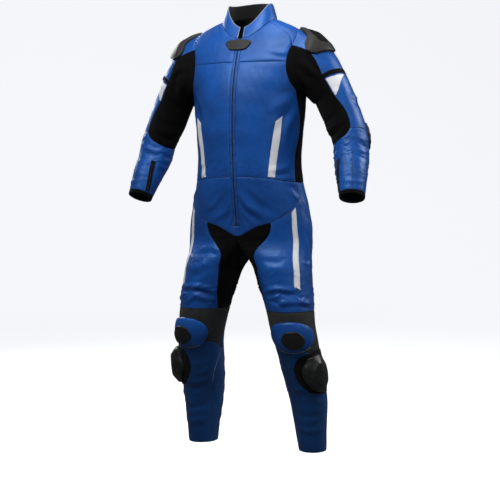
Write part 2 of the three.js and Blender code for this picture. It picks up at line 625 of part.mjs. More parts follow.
function buildSleeveTrim() {
  addPair("shoulder_cup", wall("arm", {
    top: seam([[38, 31], [52, 32], [64, 28], [78, 13], [93, 4], [108, 13], [122, 28], [134, 32], [148, 31]], 8),
    bottom: seam([[32, 70], [60, 92], [93, 103], [126, 92], [154, 70]], 8),
    left: seam([[38, 31], [28, 48], [32, 70]], 4),
    right: seam([[148, 31], [158, 48], [154, 70]], 4),
  }, { inner: WALL + 1.2, outer: WALL + 5, swell: dome(10, 0.4) }), FINISH.armour);
  addPair("sleeve_band", wall("arm", {
    top: seam([[15, 119], [60, 137], [104, 147], [150, 138]], 9),
    bottom: seam([[15, 131], [60, 149], [104, 159], [150, 150]], 9),
    left: seam([[15, 119], [15, 131]], 1),
    right: seam([[150, 138], [150, 150]], 1),
  }, ON_TOP), FINISH.blackStretch);
  addPair("arm_patch", wall("arm", {
    top: seam([[17, 136], [48, 148], [80, 158]], 5),
    bottom: seam([[20, 202], [24, 202]], 5),
    left: seam([[17, 136], [20, 202]], 4),
    right: seam([[80, 158], [52, 168], [24, 202]], 4),
  }, ON_TOP), FINISH.whiteLeather);
  addPair("elbow_cup", wall("arm", {
    top: seam([[112, 296], [168, 296]], 4),
    bottom: seam([[112, 378], [168, 378]], 4),
    left: seam([[112, 296], [100, 337], [112, 378]], 6),
    right: seam([[168, 296], [180, 337], [168, 378]], 6),
  }, { inner: WALL + 1.4, outer: WALL + 3.4, swell: dome(7) }), FINISH.armour);
  addPair("forearm_zip", wall("arm", {
    top: seam([[-38, 432], [-20, 432]], 2),
    bottom: seam([[-64, 530], [-42, 530]], 2),
    left: seam([[-38, 432], [-64, 530]], 5),
    right: seam([[-20, 432], [-42, 530]], 5),
  }, ON_TOP), FINISH.zip);
}

const KNEE_SHELL = { inner: WALL + 1.2, outer: WALL + 4 };
const PUCK_SEAT = WALL + 1 + 3.2;

function buildLegTrim() {
  addPair("thigh_stripe", wall("leg", {
    top: seam([[43, 916], [54, 932]], 2),
    bottom: seam([[33, 680], [45, 667]], 2),
    left: seam([[43, 916], [39.5, 861], [42, 797], [41, 734], [33, 680]], 12),
    right: seam([[54, 932], [50, 861], [54, 797], [54.5, 734], [45, 667]], 12),
  }, ON_TOP), FINISH.whiteLeather);
  addPair("knee_dome", wall("leg", {
    top: seam([[-44, 560], [-24, 568], [0, 570], [24, 568], [44, 560]], 8),
    bottom: seam([[-46, 482], [-26, 474], [-2, 472], [24, 479], [46, 491]], 8),
    left: seam([[-44, 560], [-57, 541], [-61, 519], [-56, 498], [-46, 482]], 5),
    right: seam([[44, 560], [56, 545], [60, 526], [56, 507], [46, 491]], 5),
  }, { ...KNEE_SHELL, swell: dome(12, 0.4) }), FINISH.blueLeather);
  addPair("knee_insert", wall("leg", {
    top: seam([[-13, 543], [17, 543]], 4),
    bottom: seam([[-13, 486], [17, 486]], 4),
    left: seam([[-13, 543], [-23, 515], [-13, 486]], 4),
    right: seam([[17, 543], [27, 515], [17, 486]], 4),
  }, { inner: WALL + 16.3, outer: WALL + 17.8, swell: dome(3, 0.5) }), FINISH.armour);
  addPair("slider_base", wall("leg", {
    top: seam([[2, 456], [30, 465], [60, 476], [88, 482]], 8),
    bottom: seam([[12, 332], [84, 326]], 8),
    left: seam([[2, 456], [-15, 420], [-11, 376], [12, 332]], 5),
    right: seam([[88, 482], [93, 400], [84, 326]], 5),
  }, { inner: WALL + 1.6, outer: PUCK_SEAT - 0.3 }), FINISH.hookLoop);
  addPair("slider_puck", wall("leg", {
    top: seam([[21, 455], [70, 468]], 6),
    bottom: seam([[21, 341], [66, 331]], 6),
    left: seam([[21, 455], [4, 400], [21, 341]], 6),
    right: seam([[70, 468], [84, 400], [66, 331]], 6),
  }, { inner: PUCK_SEAT + 0.6, outer: PUCK_SEAT + 8, swell: dome(20, 0.45) }), FINISH.puckPlastic);
}

buildTrunk();
buildTorsoTrim();
buildCollar();
buildHips();
buildLowerLeg();
buildSleeve();
buildSleeveTrim();
buildLegTrim();

export default suit;
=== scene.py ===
"""Looks of a one-piece leather race suit for motorcycle riding, hollow and in the shape in which it is worn.

The suit is sewn from panels that lie on four surfaces: trunk, leg, arm and collar. A place on a surface is an angle
in degrees and a level in millimetres, as in the part's source, and the seams here are the same tables of places.
Each panel is a thin closed shell with rolled seam edges, creases laid one by one and a puff between its seams.
Lengths are millimetres above the sole until a mesh is made, and metres below the neck opening from then on.
"""

import logging
import math
from collections.abc import Callable
from dataclasses import dataclass, field
from enum import Enum

import bpy
import numpy as np
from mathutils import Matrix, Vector

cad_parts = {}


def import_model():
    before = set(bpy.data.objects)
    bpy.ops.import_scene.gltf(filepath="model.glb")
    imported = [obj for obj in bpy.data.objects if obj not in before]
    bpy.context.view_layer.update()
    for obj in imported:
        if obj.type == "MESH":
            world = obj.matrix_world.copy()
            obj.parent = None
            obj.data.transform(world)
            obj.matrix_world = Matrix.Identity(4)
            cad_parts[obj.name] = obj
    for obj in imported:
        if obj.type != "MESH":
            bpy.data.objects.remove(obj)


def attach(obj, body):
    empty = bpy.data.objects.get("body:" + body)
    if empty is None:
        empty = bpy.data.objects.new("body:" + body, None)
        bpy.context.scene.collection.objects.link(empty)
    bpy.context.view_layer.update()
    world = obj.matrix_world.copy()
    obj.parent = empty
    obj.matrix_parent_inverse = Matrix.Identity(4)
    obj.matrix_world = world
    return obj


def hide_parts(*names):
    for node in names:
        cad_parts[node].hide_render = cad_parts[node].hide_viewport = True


Array = np.ndarray
LOG = logging.getLogger("race_suit")

NECK_HEIGHT = 1500.0
MM = 0.001
WALL = 2.2
CELL = 4.4
REFINE = 8
FORK_LEVEL = 840.0
CROTCH_DIP = 52.0
LEG_BLEND_END = 730.0
FRONT_ON_LEG = -40.0
LEG_PER_TRUNK = 260.0 / 180.0
NECK_LEVEL = 1540.0
CHEST_LEVEL = 1395.0
WAIST_LEVEL = 1012.0
KNEE_TOP = 600.0
KNEE_END = 460.0
HEM_LEVEL = 130.0
ELBOW_REACH = 336.0
CUFF_REACH = 534.0
CUFF_LENGTH = 14.0
ZIP_HALF = 10.0


class Side(Enum):
    """The side of the suit a panel is made for; the right one is the left one mirrored."""

    LEFT = 1.0
    RIGHT = -1.0
    MIDDLE = 0.0


# ---- small helpers on whole arrays ----


def lerp(a: Array, b: Array, t: Array) -> Array:
    """Straight mix of a and b, which is a at t = 0 and b at t = 1."""
    return a + (b - a) * t


def smooth(t: Array) -> Array:
    """Soft step: 3 t squared less 2 t cubed."""
    return t * t * (3.0 - 2.0 * t)


def unit(v: Array) -> Array:
    """Vectors divided by their own lengths."""
    return v / np.maximum(np.linalg.norm(v, axis=-1, keepdims=True), 1e-12)


def stack(*parts: Array) -> Array:
    """Coordinates put together as the last axis of one array."""
    return np.stack(np.broadcast_arrays(*parts), axis=-1)


def matched(first: Array, second: Array) -> tuple[Array, ...]:
    """Both as arrays of numbers of one shape."""
    return np.broadcast_arrays(np.asarray(first, float), np.asarray(second, float))


def near(distance: Array, reach: float) -> Array:
    """Weight that falls from 1 at distance 0 to 0 at reach, in a straight line."""
    return np.clip(1.0 - np.abs(distance) / reach, 0.0, 1.0)


def bell(t: Array) -> Array:
    """1 at t = 0, and soon 0 on both sides: the exponential of minus t squared."""
    return np.exp(-(t**2))


def ripple(points: Array, wave: float, seed: int) -> Array:
    """Soft unevenness between about -1 and 1: the sum of six sine waves of seeded directions and phases.

    Args:
        points: places in millimetres, with x, y, z last.
        wave: the mean wavelength in millimetres.
        seed: what the directions and phases come from.

    Returns:
        One height for each place.
    """
    random = np.random.default_rng(seed)
    ways = unit(random.normal(size=(6, 3))) * (random.uniform(0.7, 1.5, (6, 1)) * 2.0 * np.pi / wave)
    phases = random.uniform(0.0, 2.0 * np.pi, 6)
    return np.sin(points @ ways.T + phases).sum(axis=-1) / 3.0


def crumple(points: Array, wave: float, seed: int) -> Array:
    """Fine sharp folds that run mostly across a limb, from 0 to 1: the crests of waves up and down, bent by ripples.

    Args:
        points: places in millimetres.
        wave: the folds' distance in millimetres.
        seed: what the ripples come from.

    Returns:
        One height for each place.
    """
    bent = points[..., 2] + 0.55 * wave * ripple(points, 2.6 * wave, seed) + 0.3 * wave * ripple(points, wave, seed + 1)
    crest = 1.0 - np.abs(np.sin(np.pi * bent / wave))
    return crest**2 * smooth(np.clip(0.5 + 0.6 * ripple(points, 3.2 * wave, seed + 2), 0.0, 1.0))


# ---- the four surfaces ----


@dataclass(frozen=True)
class RingTable:
    """Rows of sizes, with the way along in the first column."""

    rows: tuple[tuple[float, ...], ...]

    def read(self, at: Array) -> list[Array]:
        """Smooth curve through the rows: cubic pieces whose slopes come from the neighbouring rows.

        Args:
            at: the ways along, of any shape.

        Returns:
            The other columns there, each of the shape of at.
        """
        rows = np.array(self.rows)
        at = np.asarray(at, dtype=float)
        turn = 1.0 if rows[1, 0] > rows[0, 0] else -1.0
        last = len(rows) - 1
        i = np.clip(np.searchsorted(turn * rows[:, 0], turn * at), 1, last)
        before, left, right, after = (rows[np.clip(i + k, 0, last)] for k in (-2, -1, 0, 1))
        span = (right[..., :1] - left[..., :1])
        way = at[..., None]
        t = np.clip((way - left[..., :1]) / span, 0.0, 1.0)
        past = way - lerp(left[..., :1], right[..., :1], t)
        slope_left = (right - before) / (right[..., :1] - before[..., :1])
        slope_right = (after - left) / (after[..., :1] - left[..., :1])
        ends = left * (2 * t**3 - 3 * t**2 + 1) + right * (3 * t**2 - 2 * t**3)
        slopes = slope_left * (t**3 - 2 * t**2 + t) + slope_right * (t**3 - t**2)
        found = ends + slopes * span + past * np.where(t > 0.5, slope_right, slope_left)
        return [found[..., k] for k in range(1, rows.shape[1])]


@dataclass(frozen=True)
class Surface:
    """A surface whose points are a function of an angle and a level."""

    table: RingTable
    step: float = 1.0

    def point(self, angle: Array, level: Array) -> Array:
        """Points at the places, in millimetres above the sole."""
        raise NotImplementedError

    def slope_normal(self, angle: Array, level: Array) -> Array:
        """Outward normals: the cross product of two small steps on the surface.

        Args:
            angle: degrees round the surface.
            level: the way along it.

        Returns:
            Unit normals.
        """
        across = self.point(angle + 0.5, level) - self.point(angle - 0.5, level)
        down = self.point(angle, level) - self.point(angle, level - self.step)
        return unit(np.cross(across, down))

    def normal(self, angle: Array, level: Array) -> Array:
        """Normals, turned at an edge to lie halfway between the two surfaces that meet there."""
        return self.slope_normal(angle, level)


@dataclass(frozen=True)
class TrunkSurface(Surface):
    """Trunk: an ellipse at each level with its own depth before and behind, and heights that differ round it."""

    hole_angle: float = 90.0
    hole_level: float = 1400.0
    hole_half_angle: float = 45.0
    hole_half_height: float = 105.0

    def point(self, angle: Array, level: Array) -> Array:
        """Width times sine, minus depth times cosine, and a height mixed by the squared cosine.

        Args:
            angle: degrees from the front, 90 at the suit's left.
            level: nominal height in millimetres.

        Returns:
            Points in millimetres.
        """
        front, back, width, depth_front, depth_back = self.table.read(level)
        s, c = np.sin(np.radians(angle)), np.cos(np.radians(angle))
        depth = np.where(c > 0, depth_front, depth_back)
        height = lerp(level, np.where(c > 0, front, back), c * c)
        return stack(width * s, -depth * c, height)

    def hole(self, angle: Array) -> Array:
        """Places on the armhole's oval: 0 is its front, 90 the shoulder and -90 the armpit.

        Args:
            angle: degrees round the oval.

        Returns:
            The trunk's angles and levels.
        """
        a = np.radians(angle)
        return stack(self.hole_angle - self.hole_half_angle * np.cos(a),
                     self.hole_level + self.hole_half_height * np.sin(a))

    def normal(self, angle: Array, level: Array) -> Array:
        """The slope's normal, leaning out from the neck ring and from the armhole close to them.

        Args:
            angle: degrees from the front, 90 at the suit's left.
            level: nominal height in millimetres.

        Returns:
            Unit normals.
        """
        angle, level = matched(angle, level)
        behind = angle > 180.0
        angle = np.where(behind, 360.0 - angle, angle)
        normal, point = self.slope_normal(angle, level), self.point(angle, level)
        flat = point * (1.0, 1.0, 0.0)
        normal = normal + unit(flat) * near(NECK_LEVEL - level, 6.0)[..., None]
        a = (angle - self.hole_angle) / self.hole_half_angle
        b = (level - self.hole_level) / self.hole_half_height
        away = unit((point - (0.0, 4.0, self.hole_level)) * (0.0, 1.0, 1.0))
        normal = unit(normal) + away * near(np.hypot(a, b) - 1.0, 0.05)[..., None]
        return unit(normal) * np.where(behind, -1.0, 1.0)[..., None] ** np.array([1, 0, 0])


@dataclass(frozen=True)
class LegSurface(Surface):
    """Left leg: the trunk's ring above the fork, a turned ellipse below the blend, and a change between them."""

    trunk: TrunkSurface = field(default=None)

    def point(self, angle: Array, level: Array) -> Array:
        """Ellipse of the leg, mixed with the trunk outside and with the dipping crotch line inside.

        Args:
            angle: degrees round the leg, 0 in front and 90 outside.
            level: height in millimetres.

        Returns:
            Points in millimetres.
        """
        angle, level = matched(angle, level)
        turned = np.where(angle > 220.0, angle - 360.0, angle)
        inside = turned < FRONT_ON_LEG
        across = (turned + 90.0) / 50.0
        middle = np.where(inside, np.cos(np.radians(90.0 * across)) ** 2, 0.0)
        way = np.clip((FORK_LEVEL - level) / (FORK_LEVEL - LEG_BLEND_END), 0.0, 1.0)
        height = np.where(way < 1.0, lerp(FORK_LEVEL - CROTCH_DIP * middle, LEG_BLEND_END, way), level)
        ring_x, ring_y, width, depth, turn = self.table.read(height)
        turn = np.radians(turn)
        forward, outward = depth * np.cos(np.radians(turned)), width * np.sin(np.radians(turned))
        x = ring_x + forward * np.sin(turn) + outward * np.cos(turn)
        y = ring_y - forward * np.cos(turn) + outward * np.sin(turn)
        on_trunk = self.trunk.point((turned - FRONT_ON_LEG) / LEG_PER_TRUNK, level)
        outside = lerp(on_trunk, stack(x, y, level), smooth(way)[..., None])
        _, _, _, depth_front, depth_back = self.trunk.table.read(level)
        start = -np.where(across > 0, depth_front, depth_back) * np.sin(np.radians(90.0 * across))
        weight = lerp(smooth(way), np.sin(np.radians(90.0 * way)), middle)
        crotch = stack(x * weight, lerp(start, y, weight), height)
        above = self.trunk.point((angle - FRONT_ON_LEG) / LEG_PER_TRUNK, level)
        below = np.where(inside[..., None], crotch, outside)
        return np.where((level > FORK_LEVEL + 0.001)[..., None], above, below)

    def normal(self, angle: Array, level: Array) -> Array:
        """The slope's normal, turned into the middle plane along the crotch line.

        Args:
            angle: degrees round the leg, 0 in front and 90 outside.
            level: height in millimetres.

        Returns:
            Unit normals.
        """
        angle, level = matched(angle, level)
        normal = self.slope_normal(angle, level)
        turned = np.where(angle > 220.0, angle - 360.0, angle)
        edge = near(FORK_LEVEL - level, 5.0) * (turned < FRONT_ON_LEG + 0.01)
        return unit(normal * stack(1.0 - edge, 1.0, 1.0))


@dataclass(frozen=True)
class ArmSurface(Surface):
    """Left arm: ellipses across the arm's own line, which starts from the armhole."""

    trunk: TrunkSurface = field(default=None)
    start: float = 50.0

    def line(self, reach: Array) -> tuple[Array, Array, Array]:
        """The arm's middle line, its outward half width and its depth at each reach.

        Args:
            reach: millimetres along the arm.

        Returns:
            Points, vectors and lengths in millimetres.
        """
        out_x, out_z, in_x, in_z, y, depth = self.table.read(reach)
        middle = stack((out_x + in_x) / 2, y, (out_z + in_z) / 2)
        return middle, stack((out_x - in_x) / 2, 0.0, (out_z - in_z) / 2), depth

    def point(self, angle: Array, reach: Array) -> Array:
        """Middle, plus forward depth times cosine, plus outward half width times sine; near the armhole a mix.

        Args:
            angle: degrees round the arm, 0 in front and 90 outside.
            reach: millimetres along the arm.

        Returns:
            Points in millimetres.
        """
        angle, reach = matched(angle, reach)
        on_arm = np.maximum(reach, self.start)
        middle, outward, depth = self.line(on_arm)
        along = unit(self.line(on_arm + 2.0)[0] - self.line(on_arm - 2.0)[0])
        forward = unit(np.array([0.0, -1.0, 0.0]) + along * along[..., 1:2])
        c, s = np.cos(np.radians(angle))[..., None], np.sin(np.radians(angle))[..., None]
        ring = middle + forward * depth[..., None] * c + outward * s
        place = self.trunk.hole(angle)
        base = self.trunk.point(place[..., 0], place[..., 1])
        return lerp(base, ring, np.clip(reach / self.start, 0.0, 1.0)[..., None])

    def normal(self, angle: Array, reach: Array) -> Array:
        """The slope's normal, turned to the trunk's one at the armhole.

        Args:
            angle: degrees round the arm, 0 in front and 90 outside.
            reach: millimetres along the arm.

        Returns:
            Unit normals.
        """
        angle, reach = matched(angle, reach)
        place = self.trunk.hole(angle)
        edge = self.trunk.normal(place[..., 0], place[..., 1])
        return unit(lerp(self.slope_normal(angle, reach), edge, near(reach, 8.0)[..., None]))


@dataclass(frozen=True)
class CollarSurface(Surface):
    """Stand collar: it leans in from the neck ring, level 0, to its top ring, level 1."""

    trunk: TrunkSurface = field(default=None)
    top_width: float = 73.0
    top_depth: float = 64.0
    rises: tuple[float, float, float] = (37.0, 52.0, 48.0)
    back_shift: float = 4.0

    def point(self, angle: Array, level: Array) -> Array:
        """Straight lines from the neck ring to an ellipse above it.

        Args:
            angle: degrees from the front.
            level: 0 at the neck seam and 1 at the top.

        Returns:
            Points in millimetres.
        """
        base = self.trunk.point(angle, np.full(np.shape(angle), NECK_LEVEL))
        s, c = np.sin(np.radians(angle)), np.cos(np.radians(angle))
        front, side, back = self.rises
        rise = lerp(side, np.where(c > 0, front, back), c * c)
        top = stack(self.top_width * s, self.back_shift - self.top_depth * c, base[..., 2] + rise)
        return lerp(base, top, np.asarray(level)[..., None])

    def normal(self, angle: Array, level: Array) -> Array:
        """The slope's normal, turned to the trunk's one at the neck seam."""
        edge = self.trunk.normal(angle, np.full(np.shape(angle), NECK_LEVEL))
        return unit(lerp(self.slope_normal(angle, level), edge, near(level, 0.12)[..., None]))


TRUNK = TrunkSurface(RingTable((
    (700, 700, 700, 198, 92, 132), (770, 770, 770, 208, 95, 140), (840, 840, 840, 212, 100, 143),
    (880, 882, 880, 209, 106, 140), (950, 955, 950, 196, 120, 128), (1012, 1030, 1018, 182, 130, 112),
    (1090, 1096, 1090, 175, 134, 108), (1170, 1170, 1170, 180, 138, 112), (1250, 1250, 1250, 188, 138, 118),
    (1300, 1300, 1300, 193, 134, 121), (1350, 1350, 1350, 214, 124, 122), (1400, 1400, 1400, 227, 110, 120),
    (1450, 1436, 1453, 221, 96, 114), (1485, 1454, 1492, 200, 90, 104), (1510, 1464, 1521, 158, 86, 94),
    (1528, 1470, 1542, 118, 83, 84), (1540, 1474, 1556, 90, 79, 76))))
LEG = LegSurface(RingTable((
    (850, 104, 2, 108, 112, 0), (790, 114, -6, 98, 108, 1), (730, 124, -14, 91, 102, 4),
    (670, 138, -20, 84, 96, 9), (635, 147, -23, 80, 92, 12), (600, 153, -24, 76, 89, 15),
    (560, 160, -25, 73, 84, 16.5), (510, 169, -21, 71, 78, 16.5), (460, 176, -4, 68, 77, 16.5),
    (400, 182, 14, 66, 79, 16.5), (300, 191, 46, 60, 74, 16.5), (200, 197, 53, 50, 59, 16.5),
    (130, 201, 59, 44, 51, 16.5))), trunk=TRUNK)
ARM = ArmSurface(RingTable((
    (50, 232, 1478, 201, 1290, 5, 76), (95, 277, 1434, 213, 1277, 10, 70), (140, 311, 1379, 222, 1268, 14, 65),
    (195, 343, 1310, 230, 1262, 20, 62), (265, 370, 1243, 260, 1197, 20, 60), (336, 396, 1169, 290, 1136, 13, 57),
    (405, 406, 1099, 302, 1081, -4, 54), (462, 411, 1047, 317, 1033, -31, 48), (550, 415, 966, 341, 956, -66, 38))),
    step=-1.0, trunk=TRUNK)
COLLAR = CollarSurface(RingTable(((0.0, 0.0), (1.0, 1.0))), step=0.02, trunk=TRUNK)


# ---- seams: rows of places ----


def seam(*keys: tuple[float, float] | Array, steps: int) -> Array:
    """Soft curve of places through its key places, which lie evenly along it.

    It is a cubic through each pair of keys with slopes from their neighbours, and a straight line for two keys.

    Args:
        keys: places of angle and level.
        steps: how many steps the same seam has in the solids.

    Returns:
        REFINE places for each step, and the last one.
    """
    rows = np.array([tuple(key) for key in keys], dtype=float)
    at = np.linspace(0.0, len(rows) - 1.0, steps * REFINE + 1)
    k = np.minimum(at.astype(int), len(rows) - 2)
    t = (at - k)[:, None]
    last = len(rows) - 1
    left, right = rows[k], rows[k + 1]
    out = np.where((k > 0)[:, None], (right - rows[np.maximum(k - 1, 0)]) / 2, right - left)
    into = np.where((k + 2 <= last)[:, None], (rows[np.minimum(k + 2, last)] - left) / 2, right - left)
    ends = left * (2 * t**3 - 3 * t**2 + 1) + right * (3 * t**2 - 2 * t**3)
    return ends + out * (t**3 - 2 * t**2 + t) + into * (t**3 - t**2)


def join(*lines: Array) -> Array:
    """One row of places from several that follow on each other."""
    return np.concatenate([lines[0]] + [line[1:] for line in lines[1:]])


def back(line: Array) -> Array:
    """The same row of places from its other end."""
    return line[::-1]


def moved(line: Array, by: float) -> Array:
    """The row of places with its angles moved."""
    return line + (by, 0.0)


def on_leg(line: Array) -> Array:
    """Places on the trunk, written as places on the leg."""
    return stack(FRONT_ON_LEG + line[..., 0] * LEG_PER_TRUNK, line[..., 1])


def behind(line: Array) -> Array:
    """Places on the left of the trunk, mirrored to its right."""
    return stack(360.0 - line[..., 0], line[..., 1])


def hole(start: float, end: float, steps: int) -> Array:
    """Part of the armhole as places on the trunk."""
    return TRUNK.hole(np.linspace(start, end, steps * REFINE + 1))


def zip_edge(start: float, end: float, steps: int) -> Array:
    """The placket's edge, which keeps its distance from the middle at every level."""
    level = np.linspace(start, end, steps * REFINE + 1)
    return stack(np.degrees(np.arcsin(ZIP_HALF / TRUNK.table.read(level)[2])), level)


class Pattern:
    """The cutting pattern: every seam of the suit, made once and shared by the panels on both of its sides."""

    def __init__(self) -> None:
        """Works out the seams from their key places."""
        self.trunk()
        self.legs()
        self.sleeves()

    def trunk(self) -> None:
        """Seams above the waist."""
        self.hole_front, self.hole_yoke, self.hole_top = hole(-62, -3, 4), hole(-3, 30, 3), hole(30, 150, 6)
        self.hole_back, self.hole_under = hole(150, 242, 5), hole(-118, -62, 4)
        self.zip_yoke = zip_edge(NECK_LEVEL, CHEST_LEVEL, 3)
        self.zip_chest = zip_edge(CHEST_LEVEL, WAIST_LEVEL, 10)
        self.zip_pelvis = zip_edge(WAIST_LEVEL, FORK_LEVEL, 4)
        self.chest = seam(self.zip_yoke[-1], self.hole_yoke[0], steps=8)
        self.shoulder_front = seam((68, NECK_LEVEL), (57, 1500), self.hole_top[0], steps=3)
        self.shoulder_back = seam((112, NECK_LEVEL), (123, 1500), self.hole_top[-1], steps=3)
        self.side_front = seam(self.hole_front[0], (84, 1190), (77, 1090), (74, WAIST_LEVEL), steps=6)
        self.side_back = seam(self.hole_back[-1], (97, 1190), (103, 1090), (106, WAIST_LEVEL), steps=6)
        self.waist_front = seam((self.zip_chest[-1][0], WAIST_LEVEL), (74, WAIST_LEVEL), steps=8)
        self.waist_side = seam((74, WAIST_LEVEL), (106, WAIST_LEVEL), steps=4)
        self.waist_back = seam((106, WAIST_LEVEL), (180, WAIST_LEVEL), steps=6)
        self.notch = float(self.zip_yoke[0][0])

    @staticmethod
    def neck(start: float, end: float, steps: int) -> Array:
        """Part of the neck ring."""
        return seam((start, NECK_LEVEL), (end, NECK_LEVEL), steps=steps)

    def legs(self) -> None:
        """Seams below the waist, as angles round the leg."""
        point, hip_end = (7.0, 882.0), tuple(on_leg(np.array([78.0, 969.0])))
        side_top = on_leg(np.array([74.0, WAIST_LEVEL]))
        self.crotch_line = seam((-140, FORK_LEVEL), (FRONT_ON_LEG, FORK_LEVEL), steps=6)
        self.fork_front = seam((FRONT_ON_LEG, FORK_LEVEL), on_leg(self.zip_pelvis[-1]), steps=1)
        self.fork_rise = seam(self.fork_front[-1], (-14, 868), point, steps=2)
        self.hip = seam(point, (42, 920), hip_end, steps=6)
        self.thigh_in_front = seam(point, (6, 864), (1, 838), (-9, 813), (-21, 790), (-31, 765), (-41, 730),
                                   (-49, 695), (-57, 662), (-66, 631), (-76, KNEE_TOP), steps=10)
        self.thigh_in_back = seam((-140, FORK_LEVEL), (-132, 720), (-130, KNEE_TOP), steps=10)
        self.thigh_side = seam(hip_end, (86, 890), (92, 800), (94, 700), (95, KNEE_TOP), steps=10)
        self.hip_side = seam(side_top, hip_end, steps=2)
        self.seat_middle = seam((220, WAIST_LEVEL), (220, FORK_LEVEL), steps=2)
        self.knee_front = seam((-76, KNEE_TOP), (95, KNEE_TOP), steps=6)
        self.knee_back = seam((95, KNEE_TOP), (230, KNEE_TOP), steps=10)
        self.knee_inside = seam((-130, KNEE_TOP), (-76, KNEE_TOP), steps=9)
        self.knee_in = seam((-130, KNEE_TOP), (-108, KNEE_END), steps=4)
        self.knee_out = seam((95, KNEE_TOP), (95, KNEE_END), steps=4)
        self.knee_bottom = seam((-108, KNEE_END), (-90, 479), (-68, 488), (-46, 487), (-20, 477), (5, 475), (30, 470),
                                (62, 462), (95, KNEE_END), steps=15)
        self.shin_in = seam((-108, KNEE_END), (-78, 380), (-70, 300), (-70, 215), (-70, HEM_LEVEL), steps=5)
        self.shin_out = seam((95, KNEE_END), (95, HEM_LEVEL), steps=5)

    def sleeves(self) -> None:
        """Seams of the sleeve, as angles round the arm and the way along it."""
        self.sleeve_out = join(seam((30, 0), (150, 0), steps=6), seam((150, 0), (242, 0), steps=5))
        self.sleeve_in = join(seam((-118, 0), (-62, 0), steps=4), seam((-62, 0), (-3, 0), steps=4),
                              seam((-3, 0), (30, 0), steps=3))
        self.stretch_front = seam((30, 0), (31, 32), (28, 64), (20, 96), (16, 130), (17, 190), (32, 255), (34, 290),
                                  (29, 318), steps=8)
        self.stretch_back = seam((-118, 0), (-126, 90), (-128, 180), (-130, 255), (-130, ELBOW_REACH), steps=8)
        self.elbow_out = seam((29, 318), (80, 326), (140, 336), (230, ELBOW_REACH), steps=11)
        self.elbow_in = seam((-130, ELBOW_REACH), (-90, 348), (-40, 352), (4, 340), (29, 318), steps=11)
        self.sleeve_back = seam((230, ELBOW_REACH), (230, CUFF_REACH), steps=6)

    @staticmethod
    def cuff(reach: float) -> Array:
        """A ring round the end of the sleeve."""
        return join(seam((-130, reach), (29, reach), steps=11), seam((29, reach), (230, reach), steps=11))


# ---- creases ----


@dataclass(frozen=True)
class Crease:
    """A soft ridge along a line of places, or a trough where its height is negative, with low opposite shoulders."""

    keys: tuple[tuple[float, float], ...]
    width: float
    height: float
    side: Side = Side.MIDDLE

    def relief(self, surface: Surface, points: Array) -> Array:
        """Heights at the points: a bell across the line, tapered to its ends.

        Args:
            surface: the surface that the keys lie on.
            points: places in millimetres, in rows.

        Returns:
            One height for each point.
        """
        line = surface.point(*seam(*self.keys, steps=2).T)
        found = np.zeros(len(points))
        reach = 4.0 * self.width
        close = ((points > line.min(axis=0) - reach) & (points < line.max(axis=0) + reach)).all(axis=1)
        if not close.any():
            return found
        start, way = line[:-1], np.diff(line, axis=0)
        offset = points[close][:, None] - start
        t = np.clip((offset * way).sum(-1) / np.maximum((way * way).sum(-1), 1e-9), 0.0, 1.0)
        distance = np.linalg.norm(offset - t[..., None] * way, axis=-1)
        k = distance.argmin(axis=1)
        rows = np.arange(len(k))
        along = (k + t[rows, k]) / len(way)
        d = distance[rows, k] / self.width
        profile = bell(d) - 0.3 * bell(d - 2.0)
        found[close] = self.height * profile * np.sin(np.pi * np.clip(along, 0.0, 1.0)) ** 0.7
        return found


def relief_of(surface: Surface, side: Side, points: Array) -> Array:
    """Height of every crease of the surface and side, and the leather's own broad unevenness.

    Args:
        surface: what the panel lies on.
        side: the panel's side.
        points: places in millimetres, before any mirroring.

    Returns:
        One height in millimetres for each place.
    """
    flat = points.reshape(-1, 3)
    seed = int(side.value)
    total = 0.45 * ripple(flat, 85.0, 3 + seed) + 0.2 * ripple(flat, 34.0, 11 + seed)
    for low, high, wave, depth in GATHERED.get(type(surface), ()):
        share = smooth(np.clip(np.minimum(flat[:, 2] - low, high - flat[:, 2]) / 24.0, 0.0, 1.0))
        total = total + depth * share * crumple(flat, wave, 23 + seed)
    for crease in CREASES.get(type(surface), ()):
        if crease.side in (Side.MIDDLE, side) or side is Side.MIDDLE:
            total = total + crease.relief(surface, flat)
    return total.reshape(points.shape[:-1])


